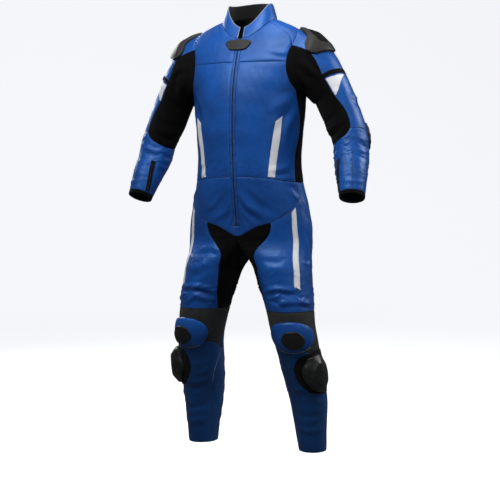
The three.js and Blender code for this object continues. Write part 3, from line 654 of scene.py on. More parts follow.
L, R = Side.LEFT, Side.RIGHT
GATHERED: dict[type, tuple[tuple[float, float, float, float], ...]] = {
    LegSurface: ((586.0, 700.0, 21.0, 4.2), (700.0, 810.0, 30.0, 1.8), (270.0, 440.0, 26.0, 1.7)),
    ArmSurface: ((1000.0, 1190.0, 19.0, 2.6), (1230.0, 1330.0, 24.0, 1.4)),
    TrunkSurface: ((1000.0, 1090.0, 26.0, 1.1), (1380.0, 1470.0, 30.0, 0.9)),
}
CREASES: dict[type, tuple[Crease, ...]] = {
    TrunkSurface: (
        Crease(((66, 1290), (50, 1262), (34, 1225)), 13, 2.6, L),
        Crease(((70, 1262), (55, 1215), (44, 1160)), 12, -2.6, L),
        Crease(((68, 1225), (60, 1170), (57, 1110)), 12, 2.4, L),
        Crease(((64, 1300), (50, 1250), (42, 1190)), 12, -2.6, R),
        Crease(((66, 1250), (56, 1190), (50, 1120)), 12, 2.4, R),
        Crease(((26, 1440), (40, 1425), (52, 1424)), 8, 1.6, L),
        Crease(((22, 1426), (38, 1412), (50, 1412)), 7, -1.3, L),
        Crease(((30, 1446), (44, 1430), (54, 1420)), 8, 1.4, R),
        Crease(((64, 1062), (52, 1050), (38, 1044)), 9, 1.8, L),
        Crease(((66, 1042), (54, 1030), (42, 1028)), 8, -1.8, L),
        Crease(((66, 1070), (50, 1054), (34, 1050)), 9, -1.8, R),
        Crease(((100, 1330), (96, 1250), (100, 1170)), 12, -3.0),
        Crease(((90, 1320), (88, 1240), (90, 1160)), 10, 2.0),
        Crease(((122, 1300), (138, 1240), (160, 1200)), 15, 2.6),
        Crease(((124, 1262), (140, 1200), (165, 1150)), 14, -2.6),
        Crease(((126, 1120), (150, 1090), (180, 1082)), 12, 2.2),
        Crease(((130, 1086), (152, 1060), (180, 1052)), 11, -2.4),
        Crease(((134, 1050), (156, 1034), (180, 1030)), 9, 1.8),
        Crease(((130, 1440), (150, 1425), (172, 1422)), 13, 1.8),
    ),
    LegSurface: (
        Crease(((-34, 975), (-20, 932), (4, 893)), 8, 3.4, L),
        Crease(((-37, 962), (-27, 920), (-6, 880)), 7, -3.2, L),
        Crease(((-26, 985), (-8, 945), (18, 908)), 9, -2.4, L),
        Crease(((-34, 950), (-24, 912), (-4, 886)), 8, 3.2, R),
        Crease(((-28, 970), (-12, 930), (8, 904)), 8, -2.8, R),
        Crease(((-37, 925), (-34, 895), (-28, 868)), 5, 2.4),
        Crease(((-30, 912), (-27, 888), (-20, 866)), 5, -2.0),
        Crease(((44, 990), (60, 960), (70, 930)), 9, 2.2),
        Crease(((52, 1000), (68, 975), (80, 950)), 8, -2.2),
        Crease(((-30, 792), (-5, 800), (22, 794)), 9, 2.6, R),
        Crease(((-24, 776), (0, 782), (26, 778)), 8, -2.8, R),
        Crease(((-12, 760), (8, 735), (26, 728)), 9, 2.2, R),
        Crease(((-26, 740), (-4, 712), (18, 700)), 9, -2.0, R),
        Crease(((-20, 786), (2, 776), (24, 778)), 10, 2.0, L),
        Crease(((-12, 764), (8, 756), (26, 760)), 9, -1.8, L),
        Crease(((-44, 664), (-6, 676), (34, 668)), 7, 3.4),
        Crease(((-46, 650), (-4, 660), (40, 652)), 6, -4.0),
        Crease(((-50, 626), (-20, 640), (8, 618)), 8, 4.2, R),
        Crease(((-30, 650), (-14, 632), (-4, 610)), 6, -2.6, R),
        Crease(((-24, 612), (6, 632), (44, 628)), 9, 4.2, L),
        Crease(((-36, 642), (-16, 628), (-2, 606)), 6, -2.8, L),
        Crease(((30, 640), (50, 628), (76, 634)), 7, 2.8),
        Crease(((34, 622), (58, 612), (82, 616)), 6, -2.6),
        Crease(((78, 900), (90, 860), (100, 800)), 8, 2.6),
        Crease(((70, 860), (84, 820), (92, 770)), 7, -2.6),
        Crease(((96, 780), (84, 740), (88, 690)), 7, 2.4),
        Crease(((104, 720), (92, 690), (100, 640)), 7, -2.4),
        Crease(((60, 760), (76, 750), (92, 756)), 6, 1.8),
        Crease(((120, 870), (150, 820), (190, 836)), 14, 3.0),
        Crease(((112, 820), (150, 780), (196, 800)), 12, -3.2),
        Crease(((120, 700), (160, 684), (205, 694)), 11, 2.8),
        Crease(((118, 672), (160, 656), (208, 664)), 10, -3.2),
        Crease(((124, 645), (165, 630), (210, 640)), 9, 2.6),
        Crease(((110, 575), (165, 560), (220, 575)), 9, -3.4),
        Crease(((108, 548), (160, 536), (215, 548)), 9, 3.0),
        Crease(((112, 520), (165, 508), (220, 520)), 8, -3.0),
        Crease(((116, 492), (165, 482), (218, 492)), 8, 2.4),
        Crease(((-60, 360), (-30, 346), (4, 352)), 8, 2.2),
        Crease(((-56, 338), (-26, 322), (10, 330)), 8, -2.2),
        Crease(((-66, 410), (-52, 386), (-34, 376)), 7, 2.0),
        Crease(((20, 318), (46, 300), (80, 306)), 8, 2.0),
        Crease(((-60, 268), (-10, 254), (50, 262)), 9, -2.0),
        Crease(((-56, 214), (0, 204), (60, 212)), 9, 2.2),
        Crease(((110, 380), (170, 350), (240, 366)), 12, 2.4),
        Crease(((120, 300), (180, 280), (250, 296)), 12, -2.4),
        Crease(((110, 230), (180, 210), (250, 226)), 10, 2.2),
        Crease(((-120, 800), (-100, 760), (-70, 740)), 9, -2.6),
        Crease(((-126, 760), (-100, 716), (-66, 690)), 9, 2.4),
        Crease(((-28, 850), (-14, 838), (0, 846)), 7, 1.8),
    ),
    ArmSurface: (
        Crease(((-6, 20), (-14, 62), (-8, 110)), 9, -4.2, L),
        Crease(((8, 24), (2, 70), (6, 124)), 9, 3.0, L),
        Crease(((-10, 24), (-2, 70), (-12, 118)), 9, -3.8, R),
        Crease(((-50, 30), (-44, 80), (-58, 130)), 10, -3.2),
        Crease(((-30, 26), (-28, 70), (-40, 128)), 9, 2.8),
        Crease(((-80, 250), (-40, 268), (10, 262)), 8, -2.8),
        Crease(((-90, 280), (-40, 296), (16, 288)), 7, 2.6),
        Crease(((-96, 306), (-46, 322), (6, 312)), 7, -2.8),
        Crease(((44, 332), (76, 344), (104, 340)), 5, -2.2, L),
        Crease(((30, 350), (66, 362), (100, 356)), 5, 2.2, L),
        Crease(((36, 372), (70, 384), (104, 380)), 5, -2.2, L),
        Crease(((28, 394), (60, 404), (92, 398)), 5, 2.0, L),
        Crease(((20, 420), (56, 428), (90, 424)), 5, -1.8, L),
        Crease(((-60, 372), (-20, 384), (30, 376)), 6, 2.2, R),
        Crease(((-56, 396), (-16, 408), (34, 398)), 6, -2.2, R),
        Crease(((-30, 430), (0, 446), (40, 440)), 6, 1.8, R),
        Crease(((-100, 380), (-70, 392), (-36, 386)), 6, -2.0),
        Crease(((-110, 420), (-80, 434), (-56, 430)), 6, 1.8),
        Crease(((120, 270), (160, 284), (210, 276)), 8, 2.4),
        Crease(((110, 246), (156, 258), (206, 250)), 8, -2.4),
        Crease(((110, 400), (160, 412), (214, 404)), 7, -2.2),
        Crease(((120, 430), (170, 442), (220, 434)), 7, 2.0),
        Crease(((60, 210), (90, 224), (120, 216)), 8, 1.8),
        Crease(((56, 236), (86, 248), (118, 240)), 8, -1.8),
        Crease(((-20, 500), (30, 508), (80, 502)), 6, 1.6),
    ),
    CollarSurface: (),
}


# ---- meshes ----


def volume_of(points: Array, faces: Array) -> float:
    """Signed volume of a closed mesh of quads; it is negative where the faces point inwards."""
    a, b, c, d = (points[faces[:, k]] for k in range(4))
    return float((a * (np.cross(b, c) + np.cross(c, d))).sum())


def grid_faces(rows: int, columns: int, start: int) -> Array:
    """Quads of a grid of rows by columns vertices, numbered row by row from start."""
    at = start + np.arange(rows * columns).reshape(rows, columns)
    return np.stack([at[:-1, :-1], at[:-1, 1:], at[1:, 1:], at[1:, :-1]], axis=-1).reshape(-1, 4)


def to_row_frame(points: Array) -> Array:
    """Millimetres above the sole turned into metres below the neck opening."""
    return (points - (0.0, 0.0, NECK_HEIGHT)) * MM


def make_object(name: str, points: Array, faces: Array, values: dict[str, Array] | None = None,
                uv: Array | None = None) -> bpy.types.Object:
    """A smooth mesh object at the origin from vertices in metres.

    Args:
        name: the piece's name.
        points: vertices, in rows.
        faces: quads, in rows; the last two of a triangle are the same.
        values: float attributes by name, one value for each vertex.
        uv: map coordinates of each vertex, in metres of cloth.

    Returns:
        The linked object.
    """
    mesh = bpy.data.meshes.new(name)
    cut = [row[:3] if row[2] == row[3] else row for row in faces.tolist()]
    mesh.from_pydata(points.tolist(), [], cut)
    mesh.polygons.foreach_set("use_smooth", np.ones(len(mesh.polygons), dtype=bool))
    for key, value in (values or {}).items():
        mesh.attributes.new(key, "FLOAT", "POINT").data.foreach_set("value", np.ravel(value).astype(np.float32))
    if uv is not None:
        corner = np.empty(len(mesh.loops), dtype=np.int32)
        mesh.loops.foreach_get("vertex_index", corner)
        mesh.uv_layers.new(name="cloth").data.foreach_set("uv", uv[corner].astype(np.float32).ravel())
    mesh.update()
    made = bpy.data.objects.new(name, mesh)
    bpy.context.scene.collection.objects.link(made)
    return made


@dataclass
class Shell:
    """A finished panel's outer and inner grid in metres, its distance to the edge in millimetres and its field mark."""

    outer: Array
    inner: Array
    normal: Array
    edge: Array
    uv: Array
    mark: Array

    def path(self, edge: str, ring: int = 0) -> tuple[Array, Array]:
        """A line on the outer face beside one edge.

        Args:
            edge: top, bottom, left or right.
            ring: how many grid lines in from the edge.

        Returns:
            Its points and its normals.
        """
        pick = {"top": np.s_[ring], "bottom": np.s_[-1 - ring], "left": np.s_[:, ring], "right": np.s_[:, -1 - ring]}
        where = pick[edge]
        return self.outer[where], self.normal[where]


ON_TOP = {"seat": WALL - 0.1, "thick": 1.4, "puff": 0.2, "roll": 1.0, "laid": True}
MOULDED = {"puff": 0.0, "creased": False, "stitched": False}
RINGS = (0.7, 2.0, 3.2, 4.6)
STITCH_RING = 3
PUFF_REACH = 9.0
CREASE_FADE = 7.0
GROOVE_DEPTH = 0.3
GROOVE_WIDTH = 0.9
EDGE_THINNING = 0.85


@dataclass
class Panel:
    """A closed thin shell over a grid of places between four seams."""

    name: str
    surface: Surface
    top: Array
    bottom: Array
    left: Array
    right: Array
    seat: float = 0.3
    thick: float = 1.5
    puff: float = 0.9
    roll: float = 2.3
    cell: float = CELL
    rounding: float = 0.0
    stitched: bool = True
    swell: Callable[[Array, Array, Array], Array] | None = None
    field_mark: Callable[[Array, Array], Array] | None = None
    creased: bool = True
    laid: bool = False

    @staticmethod
    def sample(line: Array, t: Array) -> Array:
        """Places at the shares t of a seam."""
        at = t * (len(line) - 1)
        return stack(*(np.interp(at, np.arange(len(line)), line[:, k]) for k in range(2)))

    def shares(self, first: Array, second: Array) -> Array:
        """Shares along two opposite edges: even cells of about the panel's cell, and close rings at both ends.

        Args:
            first: one edge's places.
            second: the opposite edge's places.

        Returns:
            Shares from 0 to 1.
        """
        ends = [self.surface.point(*line[::REFINE].T) for line in (first, second)]
        spans = np.mean([np.linalg.norm(np.diff(line, axis=0), axis=1) for line in ends], axis=0)
        counts = np.maximum(1, np.ceil(spans / self.cell)).astype(int)
        parts = [np.linspace(k, k + 1, n, endpoint=False) for k, n in enumerate(counts)]
        even = np.concatenate(parts + [[len(counts)]]) / len(counts)
        total = spans.sum()
        rings = np.array(RINGS) / total
        middle = even[(even > rings[-1] + 1.2 / total) & (even < 1.0 - rings[-1] - 1.2 / total)]
        return np.concatenate([[0.0], rings, middle, 1.0 - rings[::-1], [1.0]])

    def shell(self, side: Side) -> Shell:
        """The panel's two faces: the mean of the lines across and down less the corners, moved along the normals.

        Args:
            side: which side of the suit the panel is for.

        Returns:
            The grids in metres.
        """
        u, v = self.shares(self.top, self.bottom), self.shares(self.left, self.right)
        grid_u, grid_v = np.meshgrid(u, v)
        top, bottom = self.sample(self.top, u)[None], self.sample(self.bottom, u)[None]
        left, right = self.sample(self.left, v)[:, None], self.sample(self.right, v)[:, None]
        if self.rounding:
            x, y = 2 * grid_u - 1, 2 * grid_v - 1
            grid_u, grid_v = (0.5 + x * np.sqrt(1 - self.rounding * y * y / 2) / 2,
                              0.5 + y * np.sqrt(1 - self.rounding * x * x / 2) / 2)
            top, bottom = self.sample(self.top, grid_u), self.sample(self.bottom, grid_u)
            left, right = self.sample(self.left, grid_v), self.sample(self.right, grid_v)
        s, t = grid_u[..., None], grid_v[..., None]
        corners = lerp(lerp(self.top[0], self.top[-1], s), lerp(self.bottom[0], self.bottom[-1], s), t)
        places = lerp(left, right, s) + lerp(top, bottom, t) - corners
        base = self.surface.point(places[..., 0], places[..., 1])
        normal = self.surface.normal(places[..., 0], places[..., 1])
        across, down = (np.linalg.norm(np.diff(base, axis=k), axis=-1).cumsum(axis=k) for k in (1, 0))
        across, down = np.pad(across, ((0, 0), (1, 0))), np.pad(down, ((1, 0), (0, 0)))
        edge = np.minimum(np.minimum(across, across[:, -1:] - across), np.minimum(down, down[-1:] - down))
        fall = 1.0 - np.sqrt(1.0 - near(edge, self.roll) ** 2)
        rise = self.puff * (1.0 - np.exp(-edge / PUFF_REACH))
        if self.creased:
            share = 1.0 if self.laid else 1.0 - np.exp(-edge / CREASE_FADE)
            rise = rise + relief_of(self.surface, side, base) * share
        x, y = 2 * grid_u - 1, 2 * grid_v - 1
        if self.swell:
            rise = rise + self.swell(x, y, edge)
        mark = self.field_mark(x, y) if self.field_mark else 0.0 * x
        groove = GROOVE_DEPTH * bell((edge - RINGS[2]) / GROOVE_WIDTH) if self.stitched else 0.0
        inner = self.seat + (rise if self.creased else 0.0 * rise)
        outer = self.seat + rise + self.thick * (1.0 - EDGE_THINNING * fall) - groove
        uv = stack(across, down) * MM
        mirror = np.array([-1.0 if side is Side.RIGHT else 1.0, 1.0, 1.0])
        outer, inner = (to_row_frame(base + normal * h[..., None]) * mirror for h in (outer, inner))
        return Shell(outer, inner, normal * mirror, edge, uv, mark)

    def build(self, side: Side = Side.MIDDLE, tag: str = "panel") -> tuple[bpy.types.Object, Shell]:
        """Makes the panel's object: two grids and the rim between them, turned to face out.

        Args:
            side: which side of the suit the panel is for.
            tag: what the object's name ends in.

        Returns:
            The object and its grids.
        """
        shell = self.shell(side)
        rows, columns = shell.edge.shape
        count = rows * columns
        at = np.arange(count).reshape(rows, columns)
        rim = np.concatenate([at[0, :-1], at[:-1, -1], at[-1, :0:-1], at[:0:-1, 0]])
        after = np.roll(rim, -1)
        faces = np.concatenate([grid_faces(rows, columns, 0), grid_faces(rows, columns, count)[:, ::-1],
                                np.stack([rim, rim + count, after + count, after], axis=-1)])
        points = np.concatenate([shell.outer.reshape(-1, 3), shell.inner.reshape(-1, 3)])
        if volume_of(points, faces) < 0:
            faces = faces[:, ::-1]
        name = self.node(side)
        values = {"edge": np.tile(shell.edge.ravel(), 2)}
        if self.field_mark:
            values["field"] = np.tile(shell.mark.ravel(), 2)
        made = make_object(f"{name}_{tag}", points, faces, values, np.concatenate([shell.uv.reshape(-1, 2)] * 2))
        return made, shell

    def node(self, side: Side) -> str:
        """The CAD node that the panel stands for."""
        return self.name + {Side.LEFT: "_left", Side.RIGHT: "_right", Side.MIDDLE: ""}[side]


def tube_object(name: str, path: Array, normal: Array, radius: float, lift: float = 0.0) -> bpy.types.Object:
    """A round bead along a path: rings of eight points, with both ends closed.

    Args:
        name: the piece's name.
        path: points in metres.
        normal: the cloth's normal at each point.
        radius: the bead's radius in millimetres.
        lift: how far its middle lies out from the path, in millimetres.

    Returns:
        The object.
    """
    turn = np.linspace(0.0, 2.0 * np.pi, 8, endpoint=False)[None, :, None]
    along = unit(np.gradient(path, axis=0))
    side = unit(np.cross(along, normal))[:, None]
    middle = (path + normal * lift * MM)[:, None]
    rings = middle + radius * MM * (np.cos(turn) * normal[:, None] + np.sin(turn) * side)
    rings[[0, -1]] = lerp(middle[[0, -1]], rings[[0, -1]], 0.4)
    count = len(path)
    at = np.arange(count * 8).reshape(count, 8)
    after = np.roll(at, -1, axis=1)
    faces = np.stack([at[:-1], after[:-1], after[1:], at[1:]], axis=-1).reshape(-1, 4)
    ends = np.concatenate([[row[[0, 1, 2, 3]], row[[0, 3, 4, 7]], row[[4, 5, 6, 7]]] for row in at[[0, -1]]])
    ends[3:] = ends[3:, ::-1]
    faces = np.concatenate([faces, ends[:, ::-1]])
    points = rings.reshape(-1, 3)
    if volume_of(points, faces) < 0:
        faces = faces[:, ::-1]
    return make_object(name, points, faces, {"edge": np.full(len(points), 9.0)})


def spread(path: Array, normal: Array, margin: float, pitch: float) -> tuple[Array, Array, Array]:
    """Even spots on a path.

    Args:
        path: points in metres.
        normal: the cloth's normal at each point.
        margin: how much of both ends stays bare, in metres.
        pitch: the spots' distance in metres.

    Returns:
        Their places, directions and normals.
    """
    steps = np.linalg.norm(np.diff(path, axis=0), axis=1)
    way = np.concatenate([[0.0], steps.cumsum()])
    at = np.arange(margin, way[-1] - margin, pitch)
    spot, ahead, up = (stack(*(np.interp(at + push, way, rows[:, k]) for k in range(3)))
                       for push, rows in ((0.0, path), (0.0005, path), (0.0, normal)))
    return spot, unit(ahead - spot), unit(up)


def instances(name: str, shape: Array, faces: Array, spot: Array, ways: tuple[Array, ...]) -> bpy.types.Object:
    """Copies of a small shape, each turned to its own direction and normal, as one mesh.

    Args:
        name: the piece's name.
        shape: its vertices as along, aside and up, in millimetres.
        faces: its quads; the last two of a triangle are the same.
        spot: the copies' places in metres.
        ways: their directions along, aside and up.

    Returns:
        The object.
    """
    shape = shape * MM
    points = spot[:, None] + sum(shape[:, k, None] * way[:, None] for k, way in enumerate(ways))
    numbered = ((len(shape) * np.arange(len(spot)))[:, None, None] + faces).reshape(-1, 4)
    points = points.reshape(-1, 3)
    if volume_of(points, numbered) < 0:
        numbered = numbered[:, [1, 0, 3, 2]]
    return make_object(name, points, numbered)


GRAIN = np.array([(-0.5, 0, -0.35), (0.5, 0, -0.35), (0, 0.5, 0), (0, -0.5, 0), (0, 0, 1), (0, 0, -1)])
GRAIN_FACES = np.array([(0, 2, 4, 4), (2, 1, 4, 4), (1, 3, 4, 4), (3, 0, 4, 4), (2, 0, 5, 5), (1, 2, 5, 5),
                        (3, 1, 5, 5), (0, 3, 5, 5)])
BLOCK = np.array([(-1, -1, -1), (1, -1, -1), (1, 1, -1), (-1, 1, -1), (-0.7, -0.8, 1), (0.7, -0.8, 1), (0.7, 0.8, 1),
                  (-0.7, 0.8, 1)], dtype=float)
BLOCK_FACES = np.array([(0, 3, 2, 1), (4, 5, 6, 7), (0, 1, 5, 4), (1, 2, 6, 5), (2, 3, 7, 6), (3, 0, 4, 7)])
TOOTH_SIZE = (0.55, 1.3, 0.55)
TOOTH_PITCH = 0.0015
TOOTH_ASIDE = 0.0007
ZIP_MARGIN = 0.001


def zip_teeth(name: str, path: Array, normal: Array) -> bpy.types.Object:
    """Two rows of low blocks that mesh along a path, set to the left and right in turn.

    Args:
        name: the piece's name.
        path: points in metres.
        normal: the cloth's normal at each point.

    Returns:
        The object.
    """
    spot, along, up = spread(path, normal, ZIP_MARGIN, TOOTH_PITCH)
    side = unit(np.cross(along, up))
    turn = np.where(np.arange(len(spot)) % 2, TOOTH_ASIDE, -TOOTH_ASIDE)[:, None]
    return instances(name, BLOCK * TOOTH_SIZE, BLOCK_FACES, spot + side * turn, (along, side, up))


@dataclass
class Stitching:
    """Rows of thread: each stitch is a long eight-sided grain that dips into the leather at both ends."""

    name: str
    pitch: float = 4.0
    length: float = 3.1
    width: float = 0.42
    height: float = 0.36
    rows: list[tuple[Array, Array]] = field(default_factory=list)

    def sew(self, shell: Shell, *edges: str) -> None:
        """Adds a row beside each named edge of a panel."""
        self.rows.extend(shell.path(edge, STITCH_RING) for edge in edges)

    def build(self) -> bpy.types.Object:
        """Spreads stitches evenly on every row and makes them one mesh.

        Returns:
            The object.
        """
        pitch = self.pitch * MM
        rows = [spread(path, normal, pitch, pitch) for path, normal in self.rows]
        spot, along, up = (np.concatenate(parts) for parts in zip(*rows))
        size = (self.length, 2.0 * self.width, self.height)
        return instances(self.name, GRAIN * size, GRAIN_FACES, spot, (along, np.cross(along, up), up))


# ---- materials ----


class Tree:
    """A node tree with short ways to add nodes, set their inputs and link them."""

    def __init__(self, tree: bpy.types.NodeTree) -> None:
        """Takes the tree to add to."""
        self.tree = tree

    def add(self, kind: str, inputs: dict | None = None, **settings: object) -> bpy.types.Node:
        """Adds a node.

        Args:
            kind: its type without the ShaderNode in front.
            inputs: values or other nodes' outputs by input name or number.
            settings: the node's own properties.

        Returns:
            The node.
        """
        node = self.tree.nodes.new("ShaderNode" + kind)
        for key, value in settings.items():
            setattr(node, key, value)
        for key, value in (inputs or {}).items():
            if isinstance(value, bpy.types.NodeSocket):
                self.tree.links.new(value, node.inputs[key])
            else:
                node.inputs[key].default_value = value
        return node

    def math(self, operation: str, *values: object) -> bpy.types.NodeSocket:
        """A Math node's result."""
        return self.add("Math", dict(enumerate(values)), operation=operation).outputs[0]

    def spread(self, value: object, low: float, high: float, to_low: float, to_high: float) -> bpy.types.NodeSocket:
        """The value's range from low to high turned softly into another one.

        Args:
            value: a number or a socket.
            low: where its range starts.
            high: where it ends.
            to_low: the result at low.
            to_high: the result at high.

        Returns:
            The result's socket.
        """
        node = self.add("MapRange", {"Value": value, 1: low, 2: high, 3: to_low, 4: to_high})
        node.interpolation_type = "SMOOTHSTEP"
        return node.outputs[0]

    def mix(self, share: object, first: object, second: object) -> bpy.types.NodeSocket:
        """A colour between two, by the share."""
        return self.add("Mix", {0: share, 6: first, 7: second}, data_type="RGBA").outputs[2]

    def group(self, name: str, inputs: dict) -> bpy.types.Node:
        """Places a shared effect with its own values."""
        return self.add("Group", inputs, node_tree=bpy.data.node_groups[name])


def new_group(name: str, inputs: tuple[tuple[str, str], ...], outputs: tuple[str, ...]) -> tuple[Tree, dict, dict]:
    """Starts a shader node group.

    Args:
        name: the group's name.
        inputs: name and socket kind, Vector or Float, of each input.
        outputs: names of the outputs, all Float.

    Returns:
        The tree, its input sockets and its output sockets by name.
    """
    made = bpy.data.node_groups.new(name, "ShaderNodeTree")
    for key, kind in inputs:
        made.interface.new_socket(key, in_out="INPUT", socket_type="NodeSocket" + kind)
    for key in outputs:
        made.interface.new_socket(key, in_out="OUTPUT", socket_type="NodeSocketFloat")
    start, end = made.nodes.new("NodeGroupInput"), made.nodes.new("NodeGroupOutput")
    return Tree(made), {s.name: s for s in start.outputs if s.name}, {s.name: s for s in end.inputs if s.name}


def build_groups() -> None:
    """Makes the effects that several materials use: leather grain, seam wear with painted shade in the seam grooves,
    and knit.
    """
    tree, given, out = new_group("leather_grain", (("Place", "Vector"), ("Scale", "Float")),
                                 ("Height", "Pores", "Tone"))
    bend = tree.add("TexNoise", {"Vector": given["Place"], "Scale": 160.0, "Detail": 2.0})
    shifted = tree.add("VectorMath", {0: bend.outputs["Color"], 1: (0.0022, 0.0022, 0.0022), 2: given["Place"]},
                       operation="MULTIPLY_ADD")
    cells = tree.add("TexVoronoi", {"Vector": shifted.outputs[0], "Scale": given["Scale"], "Smoothness": 0.4},
                     feature="SMOOTH_F1")
    pores = tree.add("TexNoise", {"Vector": given["Place"], "Scale": 2600.0, "Detail": 3.0})
    rumple = tree.add("TexNoise", {"Vector": given["Place"], "Scale": 46.0, "Detail": 4.0, "Distortion": 0.7})
    grain = tree.math("MULTIPLY_ADD", pores.outputs[0], 0.35, cells.outputs["Distance"])
    height = tree.math("MULTIPLY_ADD", rumple.outputs[0], 4.5, grain)
    broad = tree.add("TexNoise", {"Vector": given["Place"], "Scale": 11.0, "Detail": 5.0, "Roughness": 0.55})
    tree.tree.links.new(height, out["Height"])
    tree.tree.links.new(grain, out["Pores"])
    tree.tree.links.new(tree.spread(broad.outputs[0], 0.3, 0.7, 0.0, 1.0), out["Tone"])

    # Seam group: a wear mask of rubbed patches 1 to 7 mm from a panel's edge, and painted shade for the seam grooves.
    tree, given, out = new_group("seam_wear_and_groove_shade", (("Place", "Vector"), ("Edge", "Float")), ("groove_shade", "Wear"))
    patch = tree.add("TexNoise", {"Vector": given["Place"], "Scale": 70.0, "Detail": 4.0})
    wear = tree.math("MULTIPLY", tree.spread(given["Edge"], 1.0, 7.0, 1.0, 0.0),
                     tree.spread(patch.outputs[0], 0.42, 0.68, 0.0, 1.0))
    # Painted shade in the seam grooves: 1 at a panel's edge, falling to 0 at 1.5 mm from it.
    tree.tree.links.new(tree.spread(given["Edge"], 0.1, 1.5, 1.0, 0.0), out["groove_shade"])
    tree.tree.links.new(wear, out["Wear"])

    tree, given, out = new_group("knit", (("Cloth", "Vector"), ("Ribs", "Float"), ("Rows", "Float")),
                                 ("Height", "Tone"))
    parts = tree.add("SeparateXYZ", {0: given["Cloth"]})
    rib = tree.math("SINE", tree.math("MULTIPLY", parts.outputs[0], given["Ribs"]))
    row = tree.math("SINE", tree.math("MULTIPLY", parts.outputs[1], given["Rows"]))
    mesh = tree.math("MULTIPLY_ADD", tree.math("MULTIPLY", rib, row), 0.4, tree.math("ABSOLUTE", rib))
    tree.tree.links.new(mesh, out["Height"])
    fuzz = tree.add("TexNoise", {"Vector": given["Cloth"], "Scale": 24.0, "Detail": 6.0})
    tree.tree.links.new(fuzz.outputs[0], out["Tone"])


Colour = tuple[float, float, float, float]


@dataclass(frozen=True)
class Finish:
    """What every finish has: a name, the record's slot, its colours and its gloss."""

    name: str
    slot: str
    colour: Colour
    shade: Colour
    roughness: float

    def material(self) -> bpy.types.Material:
        """The finish's material, made once.

        Returns:
            The material.
        """
        made = bpy.data.materials.get(self.name)
        if made:
            return made
        made = bpy.data.materials.new(self.name)
        made.use_nodes = True
        made.diffuse_color = self.colour
        tree = Tree(made.node_tree)
        shader = made.node_tree.nodes["Principled BSDF"]
        self.dress(tree, shader)
        return made

    def dress(self, tree: Tree, shader: bpy.types.Node) -> None:
        """Wires the finish into the shader."""
        raise NotImplementedError

    @staticmethod
    def wire(tree: Tree, shader: bpy.types.Node, colour: object, rough: object, height: object, depth: float) -> None:
        """Joins colour, roughness and bump to the shader.

        Args:
            tree: the material's tree.
            shader: its Principled BSDF.
            colour: the colour's socket.
            rough: the roughness socket.
            height: the bump's height socket.
            depth: the bump's depth in metres.
        """
        bump = tree.add("Bump", {"Height": height, "Strength": 1.0, "Distance": depth})
        tree.tree.links.new(colour, shader.inputs["Base Color"])
        tree.tree.links.new(rough, shader.inputs["Roughness"])
        tree.tree.links.new(bump.outputs[0], shader.inputs["Normal"])


@dataclass(frozen=True)
class LeatherFinish(Finish):
    """Grained cowhide: pebbles, uneven dye and gloss, wear beside its seams and painted shade in their grooves."""

    worn: Colour = (0.2, 0.3, 0.55, 1.0)
    tint: Colour = (1.0, 1.0, 1.0, 1.0)
    grain: float = 720.0
    depth: float = 0.00022

    def dress(self, tree: Tree, shader: bpy.types.Node) -> None:
        """Dye by broad noise, painted shade that darkens the seam grooves, lighter where the edges rub; grain as bump.

        Args:
            tree: where the nodes go.
            shader: the shader that they feed.
        """
        place = tree.add("TexCoord").outputs["Object"]
        edge = tree.add("Attribute", attribute_name="edge").outputs["Fac"]
        grain = tree.group("leather_grain", {"Place": place, "Scale": self.grain})
        seams = tree.group("seam_wear_and_groove_shade", {"Place": place, "Edge": edge})
        dyed = tree.mix(grain.outputs["Tone"], self.shade, self.colour)
        rubbed = tree.mix(tree.math("MULTIPLY", seams.outputs["Wear"], 0.35), dyed, self.worn)
        # Painted shade: the seam grooves, within 1.5 mm of a panel's edge, are darkened towards a quarter of the shade
        # colour.
        dark = tuple(0.25 * c for c in self.shade[:3]) + (1.0,)
        sewn = tree.mix(tree.math("MULTIPLY", seams.outputs["groove_shade"], 0.8), rubbed, dark)
        pores = tree.mix(tree.spread(grain.outputs["Pores"], 0.2, 0.75, 0.35, 0.0), sewn, self.shade)
        rough = tree.spread(grain.outputs["Tone"], 0.0, 1.0, self.roughness + 0.07, self.roughness - 0.06)
        self.wire(tree, shader, pores, rough, grain.outputs["Height"], self.depth)
        shader.inputs["Specular IOR Level"].default_value = 0.5
        shader.inputs["Specular Tint"].default_value = self.tint
        shader.inputs["Coat Roughness"].default_value = 0.35
        shader.inputs["Coat Weight"].default_value = 0.07


@dataclass(frozen=True)
class KnitFinish(Finish):
    """Stretch cloth or lining: ribs that follow the piece, with a soft sheen."""

    ribs: float = 3200.0
    rows: float = 2600.0
    sheen: float = 0.06
    depth: float = 0.0003

    def dress(self, tree: Tree, shader: bpy.types.Node) -> None:
        """Colour by fuzz with painted shade in the seam grooves, rib and row as bump, sheen on the shader.

        Args:
            tree: where the nodes go.
            shader: the shader that they feed.
        """
        cloth = tree.add("UVMap", uv_map="cloth").outputs[0]
        edge = tree.add("Attribute", attribute_name="edge").outputs["Fac"]
        place = tree.add("TexCoord").outputs["Object"]
        knit = tree.group("knit", {"Cloth": cloth, "Ribs": self.ribs, "Rows": self.rows})
        seams = tree.group("seam_wear_and_groove_shade", {"Place": place, "Edge": edge})
        woven = tree.mix(tree.spread(knit.outputs["Height"], 0.0, 1.2, 0.0, 1.0), self.shade, self.colour)
        fuzzy = tree.mix(tree.spread(knit.outputs["Tone"], 0.35, 0.7, 0.0, 0.4), woven, self.shade)
        # Painted shade: the colour goes near black in the seam grooves.
        dark = tree.mix(tree.math("MULTIPLY", seams.outputs["groove_shade"], 0.7), fuzzy, (0.002, 0.002, 0.002, 1.0))
        rough = tree.spread(knit.outputs["Tone"], 0.3, 0.7, self.roughness - 0.06, self.roughness + 0.06)
        self.wire(tree, shader, dark, rough, knit.outputs["Height"], self.depth)
        shader.inputs["Sheen Weight"].default_value = self.sheen
        shader.inputs["Sheen Roughness"].default_value = 0.5
        shader.inputs["Specular IOR Level"].default_value = 0.1


